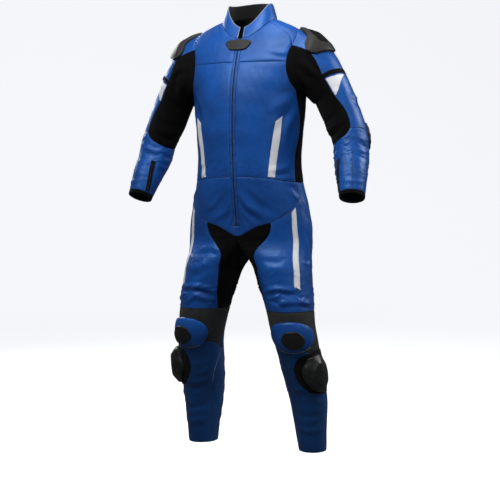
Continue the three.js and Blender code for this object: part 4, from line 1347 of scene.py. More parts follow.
@dataclass(frozen=True)
class PlasticFinish(Finish):
    """Moulded plastic or rubber with a fine texture, scuffs, and a matte field where the piece is marked so."""

    matte: float = 0.8
    texture: float = 1500.0
    depth: float = 0.00008
    scuffs: float = 0.3
    specular: float = 0.35

    def dress(self, tree: Tree, shader: bpy.types.Node) -> None:
        """Fine noise as bump, long scratches that lighten and roughen, and the marked field darker and duller.

        Args:
            tree: where the nodes go.
            shader: the shader that they feed.
        """
        place = tree.add("TexCoord").outputs["Object"]
        field_mask = tree.add("Attribute", attribute_name="field").outputs["Fac"]
        fine = tree.add("TexNoise", {"Vector": place, "Scale": self.texture, "Detail": 3.0})
        long = tree.add("Mapping", {"Vector": place, "Rotation": (0.3, 0.5, 0.2), "Scale": (60.0, 420.0, 900.0)})
        scratch = tree.add("TexNoise", {"Vector": long.outputs[0], "Scale": 1.0, "Detail": 5.0})
        cloud = tree.add("TexNoise", {"Vector": place, "Scale": 38.0, "Detail": 4.0})
        mask = tree.math("MULTIPLY", tree.spread(scratch.outputs[0], 0.56, 0.7, 0.0, 1.0),
                         tree.spread(cloud.outputs[0], 0.45, 0.65, 0.0, self.scuffs))
        moulded = tree.mix(cloud.outputs[0], self.shade, self.colour)
        dull = tree.mix(field_mask, moulded, tuple(0.06 * c for c in self.shade[:3]) + (1.0,))
        scuffed = tree.mix(mask, dull, (0.22, 0.22, 0.22, 1.0))
        glossy = tree.spread(cloud.outputs[0], 0.3, 0.7, self.roughness - 0.05, self.roughness + 0.06)
        rough = tree.add("Mix", {0: field_mask, 2: glossy, 3: self.matte}).outputs[0]
        self.wire(tree, shader, scuffed, rough, tree.math("ADD", fine.outputs[0], mask), self.depth)
        shader.inputs["Specular IOR Level"].default_value = self.specular


@dataclass(frozen=True)
class PileFinish(Finish):
    """Loop side of a hook-and-loop field: a dense, matte pile of tiny loops."""

    def dress(self, tree: Tree, shader: bpy.types.Node) -> None:
        """Two noises as pile, with painted shade darkening the colour in their hollows.

        Args:
            tree: where the nodes go.
            shader: the shader that they feed.
        """
        place = tree.add("TexCoord").outputs["Object"]
        loops = tree.add("TexVoronoi", {"Vector": place, "Scale": 900.0})
        tuft = tree.add("TexNoise", {"Vector": place, "Scale": 240.0, "Detail": 6.0})
        height = tree.math("MULTIPLY_ADD", tuft.outputs[0], 0.8, loops.outputs["Distance"])
        # Painted shade: the colour falls to the shade colour where the pile is low, in its hollows.
        colour = tree.mix(tree.spread(height, 0.4, 1.0, 0.0, 1.0), self.shade, self.colour)
        rough = tree.spread(tuft.outputs[0], 0.3, 0.7, self.roughness - 0.04, self.roughness)
        self.wire(tree, shader, colour, rough, height, 0.0006)
        shader.inputs["Sheen Weight"].default_value = 0.05
        shader.inputs["Specular IOR Level"].default_value = 0.2


def rgb(red: float, green: float, blue: float) -> Colour:
    """A linear colour with full alpha."""
    return red, green, blue, 1.0


BLUE = LeatherFinish("blue_cowhide", "blue_leather", rgb(0.012, 0.1, 0.43), rgb(0.008, 0.066, 0.3), 0.34,
                     worn=rgb(0.1, 0.22, 0.56), tint=rgb(0.42, 0.66, 1.0))
# Painted shade: a darker copy of the blue cowhide for the shins and calves, because the lower legs lie in less light.
SHADED_SHIN_BLUE = LeatherFinish("shin_blue_painted_shade", "blue_leather", rgb(0.009, 0.062, 0.23), rgb(0.006, 0.045, 0.17), 0.4,
                          worn=rgb(0.08, 0.16, 0.36), tint=rgb(0.4, 0.62, 0.95))
WHITE = LeatherFinish("white_cowhide", "white_leather", rgb(0.93, 0.95, 0.99), rgb(0.87, 0.89, 0.94), 0.48,
                      worn=rgb(0.5, 0.5, 0.54))
STRETCH = KnitFinish("black_stretch_knit", "black_stretch", rgb(0.003, 0.003, 0.0034), rgb(0.001, 0.001, 0.0013), 0.88,
                    sheen=0.03)
KNEE_STRETCH = KnitFinish("grey_stretch_knit", "black_stretch", rgb(0.052, 0.053, 0.055), rgb(0.034, 0.035, 0.036),
                          0.85)
LINING = KnitFinish("black_mesh_lining", "black_lining", rgb(0.012, 0.012, 0.013), rgb(0.004, 0.004, 0.005), 0.9,
                    ribs=2100.0, rows=2100.0, sheen=0.2, depth=0.0005)
ARMOUR = PlasticFinish("shoulder_cup_moulding", "black_armour", rgb(0.044, 0.042, 0.04), rgb(0.03, 0.029, 0.028), 0.4,
                       specular=0.14)
RUBBER = PlasticFinish("black_rubber", "black_armour", rgb(0.013, 0.013, 0.013), rgb(0.008, 0.008, 0.008), 0.5,
                       texture=900.0, scuffs=0.1)
PUCK = PlasticFinish("slider_plastic", "puck_plastic", rgb(0.02, 0.023, 0.021), rgb(0.011, 0.013, 0.012), 0.34,
                     scuffs=0.5)
PILE = PileFinish("hook_and_loop_pile", "hook_loop", rgb(0.006, 0.006, 0.006), rgb(0.002, 0.002, 0.002), 0.98)
ZIP_TEETH = PlasticFinish("zip_teeth", "zip", rgb(0.03, 0.03, 0.033), rgb(0.015, 0.015, 0.016), 0.35, scuffs=0.2)
ZIP_TAPE = KnitFinish("zip_tape", "zip", rgb(0.012, 0.012, 0.014), rgb(0.005, 0.005, 0.006), 0.85, ribs=5200.0,
                      rows=3900.0)
PIPING = LeatherFinish("light_grey_piping", "white_leather", rgb(0.34, 0.36, 0.4), rgb(0.26, 0.28, 0.31), 0.5,
                       worn=rgb(0.45, 0.46, 0.5))
BLUE_THREAD = PlasticFinish("blue_thread", "blue_leather", rgb(0.03, 0.1, 0.36), rgb(0.02, 0.07, 0.28), 0.6)
BLACK_THREAD = PlasticFinish("black_thread", "black_stretch", rgb(0.02, 0.02, 0.022), rgb(0.01, 0.01, 0.011), 0.6)
WHITE_THREAD = PlasticFinish("white_thread", "white_leather", rgb(0.6, 0.6, 0.64), rgb(0.5, 0.5, 0.54), 0.6)


# ---- sub-assemblies ----


def dress(piece: bpy.types.Object, finish: Finish, *nodes: str) -> bpy.types.Object:
    """Gives a piece its finish and body, and hides the CAD nodes that it stands for.

    Args:
        piece: the object.
        finish: what it is made of.
        nodes: the CAD nodes' names.

    Returns:
        The same object.
    """
    piece.data.materials.append(finish.material())
    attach(piece, "root")
    if nodes:
        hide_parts(*nodes)
    LOG.info("%s: %d faces, %s", piece.name, len(piece.data.polygons), finish.name)
    return piece


def line_inside(piece: bpy.types.Object, shell: Shell) -> None:
    """Gives the faces on a panel's inner grid, which come second, the suit's black lining.

    Args:
        piece: the panel's object.
        shell: its grids.
    """
    quads = (shell.edge.shape[0] - 1) * (shell.edge.shape[1] - 1)
    order = np.arange(len(piece.data.polygons))
    piece.data.materials.append(LINING.material())
    piece.data.polygons.foreach_set("material_index", ((order >= quads) & (order < 2 * quads)).astype(np.int32))


def cut_of(shell: Shell) -> tuple[tuple[float, float], float]:
    """The flat size that a panel is cut to: its longest row and column, and its area, in metres.

    Args:
        shell: the panel's grids.

    Returns:
        The flat size in metres and the cut in square metres.
    """
    across, down = float(shell.uv[:, -1, 0].max()), float(shell.uv[-1, :, 1].max())
    grid = shell.outer
    area = np.linalg.norm(np.cross(grid[1:, 1:] - grid[:-1, :-1], grid[1:, :-1] - grid[:-1, 1:]), axis=-1).sum() / 2
    across, down = math.ceil(across / MM) * MM, math.ceil(down / MM) * MM
    return (across, down), min(float(area), across * down)


def declare_sheet(piece: bpy.types.Object, shell: Shell) -> None:
    flat, area = cut_of(shell)


def on_cloth(surface: Surface, side: Side, places: Array, height: float) -> tuple[Array, Array]:
    """A path on the creased cloth.

    Args:
        surface: the surface that the places lie on.
        side: the suit's side.
        places: angles and levels, in rows.
        height: how far out it lies, in millimetres.

    Returns:
        Points in metres and normals.
    """
    base, normal = surface.point(*places.T), surface.normal(*places.T)
    lift = height + relief_of(surface, side, base)
    mirror = np.array([-1.0 if side is R else 1.0, 1.0, 1.0])
    return to_row_frame(base + normal * lift[:, None]) * mirror, normal * mirror


@dataclass
class Assembly:
    """Panels that are sewn together, and their thread."""

    pattern: Pattern
    name: str
    threads: dict[str, Stitching] = field(default_factory=dict)

    def sheet(self, panel: Panel, finish: Finish, side: Side, hangs_from: tuple[str, ...], sewn: str = "",
              thread: Finish = BLUE_THREAD, held: str = "hung") -> Shell:
        """Builds a panel as a sheet of cloth with its stitches.

        Args:
            panel: its seams and thickness.
            finish: its leather or cloth.
            side: the suit's side.
            hangs_from: the nodes that carry it; not used.
            sewn: names of the edges with a row of stitches, with spaces between.
            thread: the thread's finish.

        Returns:
            The panel's grids.
        """
        made, shell = panel.build(side)
        dress(made, finish, panel.node(side))
        if not panel.laid:
            line_inside(made, shell)
        declare_sheet(made, shell)
        if sewn:
            self.thread(thread).sew(shell, *sewn.split())
        return shell

    @staticmethod
    def mould(panel: Panel, finish: Finish, side: Side, tag: str = "moulding") -> tuple[bpy.types.Object, Shell]:
        """Builds a panel as a moulded or padded piece that isn't cut from cloth.

        Args:
            panel: its outline and thickness.
            finish: what it is made of.
            side: the suit's side.
            tag: what the object's name ends in.

        Returns:
            The object and its grids.
        """
        made, shell = panel.build(side, tag)
        dress(made, finish, panel.node(side))
        return made, shell

    def thread(self, finish: Finish) -> Stitching:
        """The assembly's stitching in one thread.

        Args:
            finish: the thread's finish.

        Returns:
            The stitching.
        """
        if finish.name not in self.threads:
            self.threads[finish.name] = Stitching(f"{self.name}_{finish.name}")
        return self.threads[finish.name]

    def finish_thread(self) -> None:
        """Builds the assembly's stitches."""
        for finish in (BLUE_THREAD, BLACK_THREAD, WHITE_THREAD):
            if finish.name in self.threads:
                dress(self.threads[finish.name].build(), finish)

    def bead(self, name: str, path: Array, normal: Array, radius: float, lift: float, finish: Finish) -> None:
        """A piping or welt along a path."""
        dress(tube_object(name, path, normal, radius, lift), finish)


def both(name: str, side: Side) -> str:
    """The name with its side."""
    return name + ("_left" if side is L else "_right")


class Torso(Assembly):
    """Yokes, shoulders, chest, stretch sides, back, stripes, placket with its zip, and neck tab."""

    def build(self) -> None:
        """Makes the panels above the waist."""
        p = self.pattern
        for side in (L, R):
            self.sheet(Panel("chest_yoke", TRUNK, join(p.neck(p.notch, 68, 5), p.shoulder_front), p.chest, p.zip_yoke,
                             back(p.hole_yoke)), BLUE, side, (both("shoulder_piece", side),), "bottom left")
            self.sheet(Panel("shoulder_piece", TRUNK, p.shoulder_back, p.shoulder_front, back(p.neck(68, 112, 6)),
                             back(p.hole_top)), BLUE, side, ("collar",), "top bottom right")
            self.sheet(Panel("chest_front", TRUNK, p.chest, p.waist_front, p.zip_chest,
                             join(back(p.hole_front), p.side_front)), BLUE, side, (both("chest_yoke", side),),
                       "top left bottom right")
            self.sheet(Panel("side_panel", TRUNK, back(p.hole_under), p.waist_side, p.side_front, p.side_back,
                             stitched=False), STRETCH, side, (both("chest_front", side),), "", BLACK_THREAD)
            self.stripe(side)
            seam_line = seam((63, 1120), (60, 1060), (57, 1014), steps=3)
            self.thread(BLUE_THREAD).rows.append(on_cloth(TRUNK, side, seam_line, 2.5))
        self.sheet(Panel("back", TRUNK, join(back(p.shoulder_back), p.neck(112, 248, 6), behind(p.shoulder_back)),
                         seam((106, WAIST_LEVEL), (254, WAIST_LEVEL), steps=12), join(p.hole_back, p.side_back),
                         behind(join(p.hole_back, p.side_back))), BLUE, Side.MIDDLE,
                   ("shoulder_piece_left", "shoulder_piece_right"), "bottom left right")
        self.placket()
        tab = Panel("neck_tab", TRUNK, seam((-12.5, 1512), (0, 1526), (12.5, 1512), steps=6),
                    seam((-7.5, 1446), (7.5, 1446), steps=6),
                    seam((-12.5, 1512), (-13.5, 1492), (-7.5, 1446), steps=4),
                    seam((12.5, 1512), (13.5, 1492), (7.5, 1446), steps=4), seat=WALL + 1.4, thick=3.0, puff=0.4,
                    roll=2.4, cell=1.8, rounding=0.3, creased=False, swell=self.tab_relief)
        self.mould(tab, RUBBER, Side.MIDDLE)
        self.finish_thread()

    @staticmethod
    def tab_relief(x: Array, y: Array, edge: Array) -> Array:
        """A border 3 mm wide, and a shallow pocket inside it."""
        return 0.5 * bell((edge - 3.0) / 1.2) - 0.25 * np.clip((edge - 4.0) / 2.0, 0, 1) + 0.0 * x * y

    def stripe(self, side: Side) -> None:
        """White stripe on the side of the chest.

        Args:
            side: left or right.
        """
        self.sheet(Panel("torso_stripe", TRUNK, seam((45.5, 1206), (54, 1224), steps=2),
                         seam((36.5, 1018), (45, 1018), steps=2),
                         seam((45.5, 1206), (43, 1150), (40, 1080), (36.5, 1018), steps=9),
                         seam((54, 1224), (52.5, 1150), (49, 1080), (45, 1018), steps=9), **ON_TOP), WHITE, side,
                   (both("chest_front", side),), "left right", WHITE_THREAD, "laid")

    def placket(self) -> None:
        """Two leather strips that meet over the zip, its tape and teeth between them, and the flap under its end."""
        end = 872.0
        for side in (L, R):
            level = np.linspace(NECK_LEVEL, end, 17 * REFINE + 1)
            width = TRUNK.table.read(level)[2]
            inner, outer = (stack(np.degrees(np.arcsin(x / width)), level) for x in (1.5, ZIP_HALF))
            strip = Panel("front_zip", TRUNK, seam(inner[0], outer[0], steps=2), seam(inner[-1], outer[-1], steps=2),
                          inner, outer, thick=2.0, puff=0.7, roll=1.6)
            made, shell = strip.build(side, "strip")
            made.name = both("front_zip_strip", side)
            dress(made, BLUE, "front_zip")
            declare_sheet(made, shell)
            self.thread(BLUE_THREAD).sew(shell, "left", "right")
        flap = Panel("front_zip", TRUNK, seam((-2.9, end - 1), (2.9, end - 1), steps=2),
                     seam((-2.8, FORK_LEVEL), (2.8, FORK_LEVEL), steps=2),
                     seam((-2.9, end - 1), (-2.8, FORK_LEVEL), steps=3),
                     seam((2.9, end - 1), (2.8, FORK_LEVEL), steps=3), thick=2.0, puff=1.4)
        made, shell = flap.build(tag="end_flap")
        dress(made, BLUE, "front_zip")
        declare_sheet(made, shell)
        line = stack(np.zeros(400), np.linspace(NECK_LEVEL - 2.0, end, 400))
        path, normal = on_cloth(TRUNK, Side.MIDDLE, line, 0.9)
        tape = Panel("front_zip", TRUNK, seam((-1.6, NECK_LEVEL), (1.6, NECK_LEVEL), steps=1),
                     seam((-1.0, end), (1.0, end), steps=1), seam((-1.6, NECK_LEVEL), (-1.0, end), steps=17),
                     seam((1.6, NECK_LEVEL), (1.0, end), steps=17), seat=-1.0, thick=0.8, puff=0.0, stitched=False)
        made, _ = tape.build(tag="tape")
        dress(made, ZIP_TAPE)
        dress(zip_teeth("front_zip_teeth", path, normal), ZIP_TEETH)


class StandCollar(Assembly):
    """Stand collar with a mesh lining and a light piping round its top edge and its notch."""

    def build(self) -> None:
        """Makes the collar, its lining and its piping."""
        p = self.pattern
        round_keys = join(p.neck(p.notch, 68, 5), p.neck(68, 112, 6), p.neck(112, 248, 6), p.neck(248, 292, 6),
                          p.neck(292, 360 - p.notch, 5))[:, 0]
        collar = Panel("collar", COLLAR, stack(round_keys, 1.0), stack(round_keys, 0.0), self.end(p.notch, 0.0),
                       self.end(360 - p.notch, 0.0), puff=1.2, roll=2.0, cell=3.0)
        shell = self.sheet(collar, BLUE, Side.MIDDLE, ("collar_lining",), "top bottom")
        lining = Panel("collar_lining", COLLAR, stack(round_keys, 1.0), stack(round_keys, 0.1), self.end(p.notch, 0.1),
                       self.end(360 - p.notch, 0.1), seat=-1.9, thick=1.6, puff=0.0, roll=1.0, stitched=False,
                       creased=False)
        self.sheet(lining, LINING, Side.MIDDLE, ("collar",))
        top, top_normal = shell.path("top")
        left, left_normal = shell.path("left")
        right, right_normal = shell.path("right")
        path = np.concatenate([left[:0:-1], top, right[1:]])
        normal = np.concatenate([left_normal[:0:-1], top_normal, right_normal[1:]])
        self.bead("collar_piping", path, normal, 1.35, -0.2, PIPING)
        self.finish_thread()

    @staticmethod
    def end(angle: float, low: float) -> Array:
        """A straight end of the collar at the notch, from its top down to the level low."""
        return seam((angle, 1.0), (angle, low), steps=2)


class LowerBody(Assembly):
    """Pelvis, seats, stretch crotch, thighs with their stripes, knees' stretch cloth, shins and calves."""

    def build(self) -> None:
        """Makes both sides from the waist down."""
        for side in (L, R):
            self.hips(side)
            self.lower_leg(side)
            self.stripe(side)
            self.piping(side)
        self.finish_thread()

    def hips(self, side: Side) -> None:
        """Panels from the waist to the knee.

        Args:
            side: left or right.
        """
        p = self.pattern
        self.sheet(Panel("pelvis_front", LEG, on_leg(p.waist_front), join(p.fork_rise, p.hip), on_leg(p.zip_pelvis),
                         seam(p.hip_side[0], p.hip_side[-1], steps=4)), BLUE, side, (both("chest_front", side),),
                   "top left bottom right")
        self.sheet(Panel("seat", LEG, on_leg(join(p.waist_side, p.waist_back)), p.knee_back,
                         join(p.hip_side, p.thigh_side), join(p.seat_middle, self.round_back(p.thigh_in_back))),
                   BLUE, side, ("back",), "top left bottom right")
        self.sheet(Panel("crotch_stretch", LEG, join(p.crotch_line, p.fork_front, p.fork_rise), p.knee_inside,
                         p.thigh_in_back, p.thigh_in_front, stitched=False, puff=0.6), STRETCH, side,
                   (both("pelvis_front", side),))
        self.sheet(Panel("thigh_front", LEG, p.hip, p.knee_front, p.thigh_in_front, p.thigh_side), BLUE, side,
                   (both("pelvis_front", side),), "top left bottom right")

    @staticmethod
    def round_back(line: Array) -> Array:
        """The inner back seam with its angles counted the other way round the leg."""
        return stack(np.where(line[:, 0] < -100, line[:, 0] + 360, line[:, 0]), line[:, 1])

    def lower_leg(self, side: Side) -> None:
        """Panels from the knee band down to the hem.

        Args:
            side: left or right.
        """
        p = self.pattern
        self.sheet(Panel("knee_stretch", LEG, join(p.knee_inside, p.knee_front), p.knee_bottom, p.knee_in, p.knee_out,
                         stitched=False, puff=0.5), KNEE_STRETCH, side, (both("thigh_front", side),))
        # The shins and calves take the darker blue leather, which is painted shade.
        self.sheet(Panel("shin", LEG, p.knee_bottom, seam((-70, HEM_LEVEL), (95, HEM_LEVEL), steps=15), p.shin_in,
                         p.shin_out), SHADED_SHIN_BLUE, side, (both("knee_stretch", side),), "top left right bottom")
        self.sheet(Panel("calf", LEG, p.knee_back, seam((95, HEM_LEVEL), (290, HEM_LEVEL), steps=10),
                         join(p.knee_out, p.shin_out), moved(join(p.knee_in, p.shin_in), 360.0)), SHADED_SHIN_BLUE, side,
                   (both("seat", side),), "top left right bottom")

    def stripe(self, side: Side) -> None:
        """White stripe down the outer front of the thigh.

        Args:
            side: left or right.
        """
        self.sheet(Panel("thigh_stripe", LEG, seam((43, 916), (54, 932), steps=2), seam((33, 680), (45, 667), steps=2),
                         seam((43, 916), (39.5, 861), (42, 797), (41, 734), (33, 680), steps=12),
                         seam((54, 932), (50, 861), (54, 797), (54.5, 734), (45, 667), steps=12), **ON_TOP), WHITE,
                   side, (both("thigh_front", side),), "left right", WHITE_THREAD, "laid")
        below = seam((44, 668), (62, 640), (84, 606), steps=4)
        self.thread(BLUE_THREAD).rows.append(on_cloth(LEG, side, below, 2.6))

    def piping(self, side: Side) -> None:
        """Light piping on the inner back seam above the knee and on the shin's inner seam.

        Args:
            side: left or right.
        """
        inner = seam((-131.6, 706), (-130.6, 650), (-130, 604), steps=6)
        path, normal = on_cloth(LEG, side, inner, 1.6)
        self.bead(both("thigh_piping", side), path, normal, 0.8, 0.0, PIPING)
        shin = self.pattern.shin_in
        path, normal = on_cloth(LEG, side, shin[: 2 * REFINE], 1.3)
        self.bead(both("shin_piping", side), path, normal, 0.8, 0.0, PIPING)


class Sleeves(Assembly):
    """Outer sleeve, stretch inside, forearm with its zip, cuff, band and white patch."""

    def build(self) -> None:
        """Makes both sleeves."""
        for side in (L, R):
            self.cloth(side)
            self.trim(side)
        self.finish_thread()

    def cloth(self, side: Side) -> None:
        """The sleeve's own panels.

        Args:
            side: left or right.
        """
        p = self.pattern
        self.sheet(Panel("sleeve_outer", ARM, p.sleeve_out, p.elbow_out, p.stretch_front, moved(p.stretch_back, 360.0)),
                   BLUE, side, (both("shoulder_piece", side),), "top left right bottom")
        self.sheet(Panel("sleeve_stretch", ARM, p.sleeve_in, p.elbow_in, p.stretch_back, p.stretch_front,
                         stitched=False, puff=0.5), STRETCH, side, (both("chest_front", side),))
        self.sheet(Panel("forearm", ARM, join(p.elbow_in, p.elbow_out), p.cuff(CUFF_REACH),
                         moved(p.sleeve_back, -360.0), p.sleeve_back), BLUE, side, (both("sleeve_outer", side),),
                   "top bottom right")
        self.sheet(Panel("cuff", ARM, p.cuff(CUFF_REACH), p.cuff(CUFF_REACH + CUFF_LENGTH),
                         seam((-130, CUFF_REACH), (-130, CUFF_REACH + CUFF_LENGTH), steps=1),
                         seam((230, CUFF_REACH), (230, CUFF_REACH + CUFF_LENGTH), steps=1), thick=2.0, puff=0.7,
                         cell=3.0, stitched=False), STRETCH, side, (both("forearm", side),))

    def trim(self, side: Side) -> None:
        """Band, white patch, wrist zip and the forearm's front seam.

        Args:
            side: left or right.
        """
        outer = (both("sleeve_outer", side),)
        self.sheet(Panel("sleeve_band", ARM, seam((15, 119), (60, 137), (104, 147), (150, 138), steps=9),
                         seam((15, 131), (60, 149), (104, 159), (150, 150), steps=9),
                         seam((15, 119), (15, 131), steps=1), seam((150, 138), (150, 150), steps=1), stitched=False,
                         **ON_TOP), STRETCH, side, outer, held="laid")
        self.sheet(Panel("arm_patch", ARM, seam((17, 136), (48, 148), (80, 158), steps=5),
                         seam((20, 202), (24, 202), steps=5), seam((17, 136), (20, 202), steps=4),
                         seam((80, 158), (52, 168), (24, 202), steps=4), **ON_TOP),
                   WHITE, side, outer, "top left right", WHITE_THREAD, "laid")
        tape = Panel("forearm_zip", ARM, seam((-38, 432), (-20, 432), steps=2), seam((-64, 530), (-42, 530), steps=2),
                     seam((-38, 432), (-64, 530), steps=5), seam((-20, 432), (-42, 530), steps=5), **ON_TOP)
        self.sheet(tape, ZIP_TAPE, side, (both("forearm", side),), "left right", BLACK_THREAD, "laid")
        path, normal = on_cloth(ARM, side, stack(np.linspace(-29, -53, 120), np.linspace(434, 528, 120)), 4.0)
        dress(zip_teeth(both("forearm_zip_teeth", side), path, normal), ZIP_TEETH)
        line = seam((24, 404), (24, 470), (22, 532), steps=8)
        path, normal = on_cloth(ARM, side, line, 2.3)
        self.bead(both("forearm_welt", side), path, normal, 0.8, 0.1, BLACK_THREAD)
        self.thread(BLUE_THREAD).rows.append(on_cloth(ARM, side, moved(line, 5.0), 2.5))


class Armour(Assembly):
    """Shoulder cups, elbow cups, knee domes with their inserts, and knee sliders on their pile fields."""

    def build(self) -> None:
        """Makes the moulded and padded pieces of both sides."""
        for side in (L, R):
            self.shoulder(side)
            self.elbow(side)
            self.knee(side)
            self.slider(side)
        self.finish_thread()

    @staticmethod
    def dome(height: float, fullness: float) -> Callable[[Array, Array, Array], Array]:
        """A crowned form: the height times the two cosines' product to a power.

        Args:
            height: at the middle, in millimetres.
            fullness: the power; a low one makes steep sides.

        Returns:
            The form's function of x, y and the distance from the edge.
        """
        def rise(x: Array, y: Array, _: Array) -> Array:
            """Height at x and y, which run from -1 to 1."""
            return height * np.maximum(np.cos(np.pi * x / 2) * np.cos(np.pi * y / 2), 1e-9) ** fullness
        return rise

    @staticmethod
    def inset(x: Array, y: Array) -> Array:
        """1 inside the cup's matte field, a slanted rounded form, and 0 outside."""
        away = (np.abs((x - 0.12 + 0.15 * y) / 0.56) ** 2.6 + np.abs((y + 0.1) / 0.66) ** 2.6) ** (1 / 2.6)
        return smooth(np.clip((1.0 - away) / 0.07 + 0.5, 0.0, 1.0))

    def shoulder(self, side: Side) -> None:
        """Shoulder cup: a dome with a rolled rim and a sunk matte field with three low ribs.

        Args:
            side: left or right.
        """
        crown = self.dome(10.0, 0.4)

        def relief(x: Array, y: Array, edge: Array) -> Array:
            """The dome, less the sunk field, plus a bead at the rim and round the field.

            Args:
                x: place across, from -1 to 1.
                y: place down, from -1 to 1.
                edge: distance from the rim in millimetres.

            Returns:
                Heights in millimetres.
            """
            field_share = self.inset(x, y)
            bead = 0.9 * bell((field_share - 0.5) / 0.28)
            ribs = 0.45 * field_share * np.cos(9.0 * (x - 0.12 + 0.15 * y))
            return crown(x, y, edge) - 1.5 * field_share + bead + ribs + 0.7 * bell((edge - 2.4) / 1.3)

        cup = Panel("shoulder_cup", ARM, seam((38, 31), (52, 32), (64, 28), (78, 13), (93, 4), (108, 13), (122, 28),
                                              (134, 32), (148, 31), steps=8),
                    seam((32, 70), (60, 92), (93, 103), (126, 92), (154, 70), steps=8),
                    seam((38, 31), (28, 48), (32, 70), steps=4), seam((148, 31), (158, 48), (154, 70), steps=4),
                    seat=WALL + 0.2, thick=4.8, roll=2.6, cell=1.7, rounding=0.25, swell=relief,
                    field_mark=self.inset, **MOULDED)
        self.mould(cup, ARMOUR, side)

    def elbow(self, side: Side) -> None:
        """Elbow cup: a small dome with four ridges across.

        Args:
            side: left or right.
        """
        crown = self.dome(7.0, 0.5)

        def relief(x: Array, y: Array, edge: Array) -> Array:
            """The dome, and ridges that fade to its rim."""
            return crown(x, y, edge) + 0.7 * np.cos(14.0 * y) * np.clip(edge / 8.0, 0, 1)

        cup = Panel("elbow_cup", ARM, seam((112, 296), (168, 296), steps=4), seam((112, 378), (168, 378), steps=4),
                    seam((112, 296), (100, 337), (112, 378), steps=6),
                    seam((168, 296), (180, 337), (168, 378), steps=6), seat=WALL, thick=3.4, roll=2.4, cell=1.7,
                    rounding=0.5, swell=relief, **MOULDED)
        self.mould(cup, RUBBER, side)

    def knee(self, side: Side) -> None:
        """Padded knee dome, the light piping round its lower edge, and its rubber insert with a raised rim.

        Args:
            side: left or right.
        """
        dome = Panel("knee_dome", LEG, seam((-44, 560), (-24, 568), (0, 570), (24, 568), (44, 560), steps=8),
                     seam((-46, 482), (-26, 474), (-2, 472), (24, 479), (46, 491), steps=8),
                     seam((-44, 560), (-57, 541), (-61, 519), (-56, 498), (-46, 482), steps=5),
                     seam((44, 560), (56, 545), (60, 526), (56, 507), (46, 491), steps=5), seat=WALL - 0.4,
                     thick=4.4, puff=0.0, roll=3.0, cell=2.6, rounding=0.45, creased=False,
                     swell=self.dome(12.0, 0.4))
        made, shell = self.mould(dome, BLUE, side, "cover")
        self.thread(BLUE_THREAD).sew(shell, "top", "left", "right", "bottom")
        bottom, normal = shell.path("bottom")
        drop = 2.6 * MM
        below = bottom[2:-2] - (0.0, 0.0, drop)
        self.bead(both("knee_piping", side), below, normal[2:-2], 1.2, 1.2, PIPING)

        def relief(x: Array, y: Array, edge: Array) -> Array:
            """A low crown, a raised rim 4 mm in from the edge, and a shallow pit in the middle."""
            crown = 3.0 * np.sqrt(np.maximum(np.cos(np.pi * x / 2) * np.cos(np.pi * y / 2), 1e-9))
            return crown + 1.0 * bell((edge - 4.0) / 1.7) - 0.5 * np.clip((edge - 6) / 3, 0, 1)

        insert = Panel("knee_insert", LEG, seam((-13, 543), (17, 543), steps=4), seam((-13, 486), (17, 486), steps=4),
                       seam((-13, 543), (-23, 515), (-13, 486), steps=4),
                       seam((17, 543), (27, 515), (17, 486), steps=4), seat=WALL + 12.0, thick=5.8, roll=2.0,
                       cell=1.5, rounding=0.5, swell=relief, **MOULDED)
        self.mould(insert, RUBBER, side)

    def slider(self, side: Side) -> None:
        """Knee slider: a block of facets with soft edges, on a field of pile.

        Args:
            side: left or right.
        """
        base = Panel("slider_base", LEG, seam((2, 456), (30, 465), (60, 476), (88, 482), steps=8),
                     seam((12, 332), (84, 326), steps=8), seam((2, 456), (-15, 420), (-11, 376), (12, 332), steps=5),
                     seam((88, 482), (93, 400), (84, 326), steps=5), seat=WALL + 0.2, thick=3.6, roll=1.6, cell=2.6,
                     rounding=0.3, **MOULDED)
        self.mould(base, PILE, side, "field")

        def facets(x: Array, y: Array, _: Array) -> Array:
            """The soft least of a nearly flat top and eight slanted planes, all falling to the rim.

            Args:
                x: place across, from -1 to 1.
                y: place down, from -1 to 1.
                _: the distance from the edge, which plays no part.

            Returns:
                Heights in millimetres.
            """
            planes = np.stack([1.0 - 0.06 * (x + 0.2) ** 2 - 0.05 * y * y, (1.0 + x) / 0.55, (1.0 - x) / 0.7,
                               (1.0 + y) / 0.42, (1.0 - y) / 0.5, (1.5 + x + y) / 0.8, (1.5 - x + y) / 0.9,
                               (1.45 + x - y) / 0.8, (1.5 - x - y) / 0.9])
            least = -np.log(np.exp(-22.0 * planes).sum(axis=0)) / 22.0
            return 20.0 * np.clip(least, 0.0, 1.1)

        puck = Panel("slider_puck", LEG, seam((21, 455), (70, 468), steps=6), seam((21, 341), (66, 331), steps=6),
                     seam((21, 455), (4, 400), (21, 341), steps=6), seam((70, 468), (84, 400), (66, 331), steps=6),
                     seat=WALL + 3.6, thick=8.6, roll=2.6, cell=1.9, rounding=0.5, swell=facets, **MOULDED)
        self.mould(puck, PUCK, side, "block")


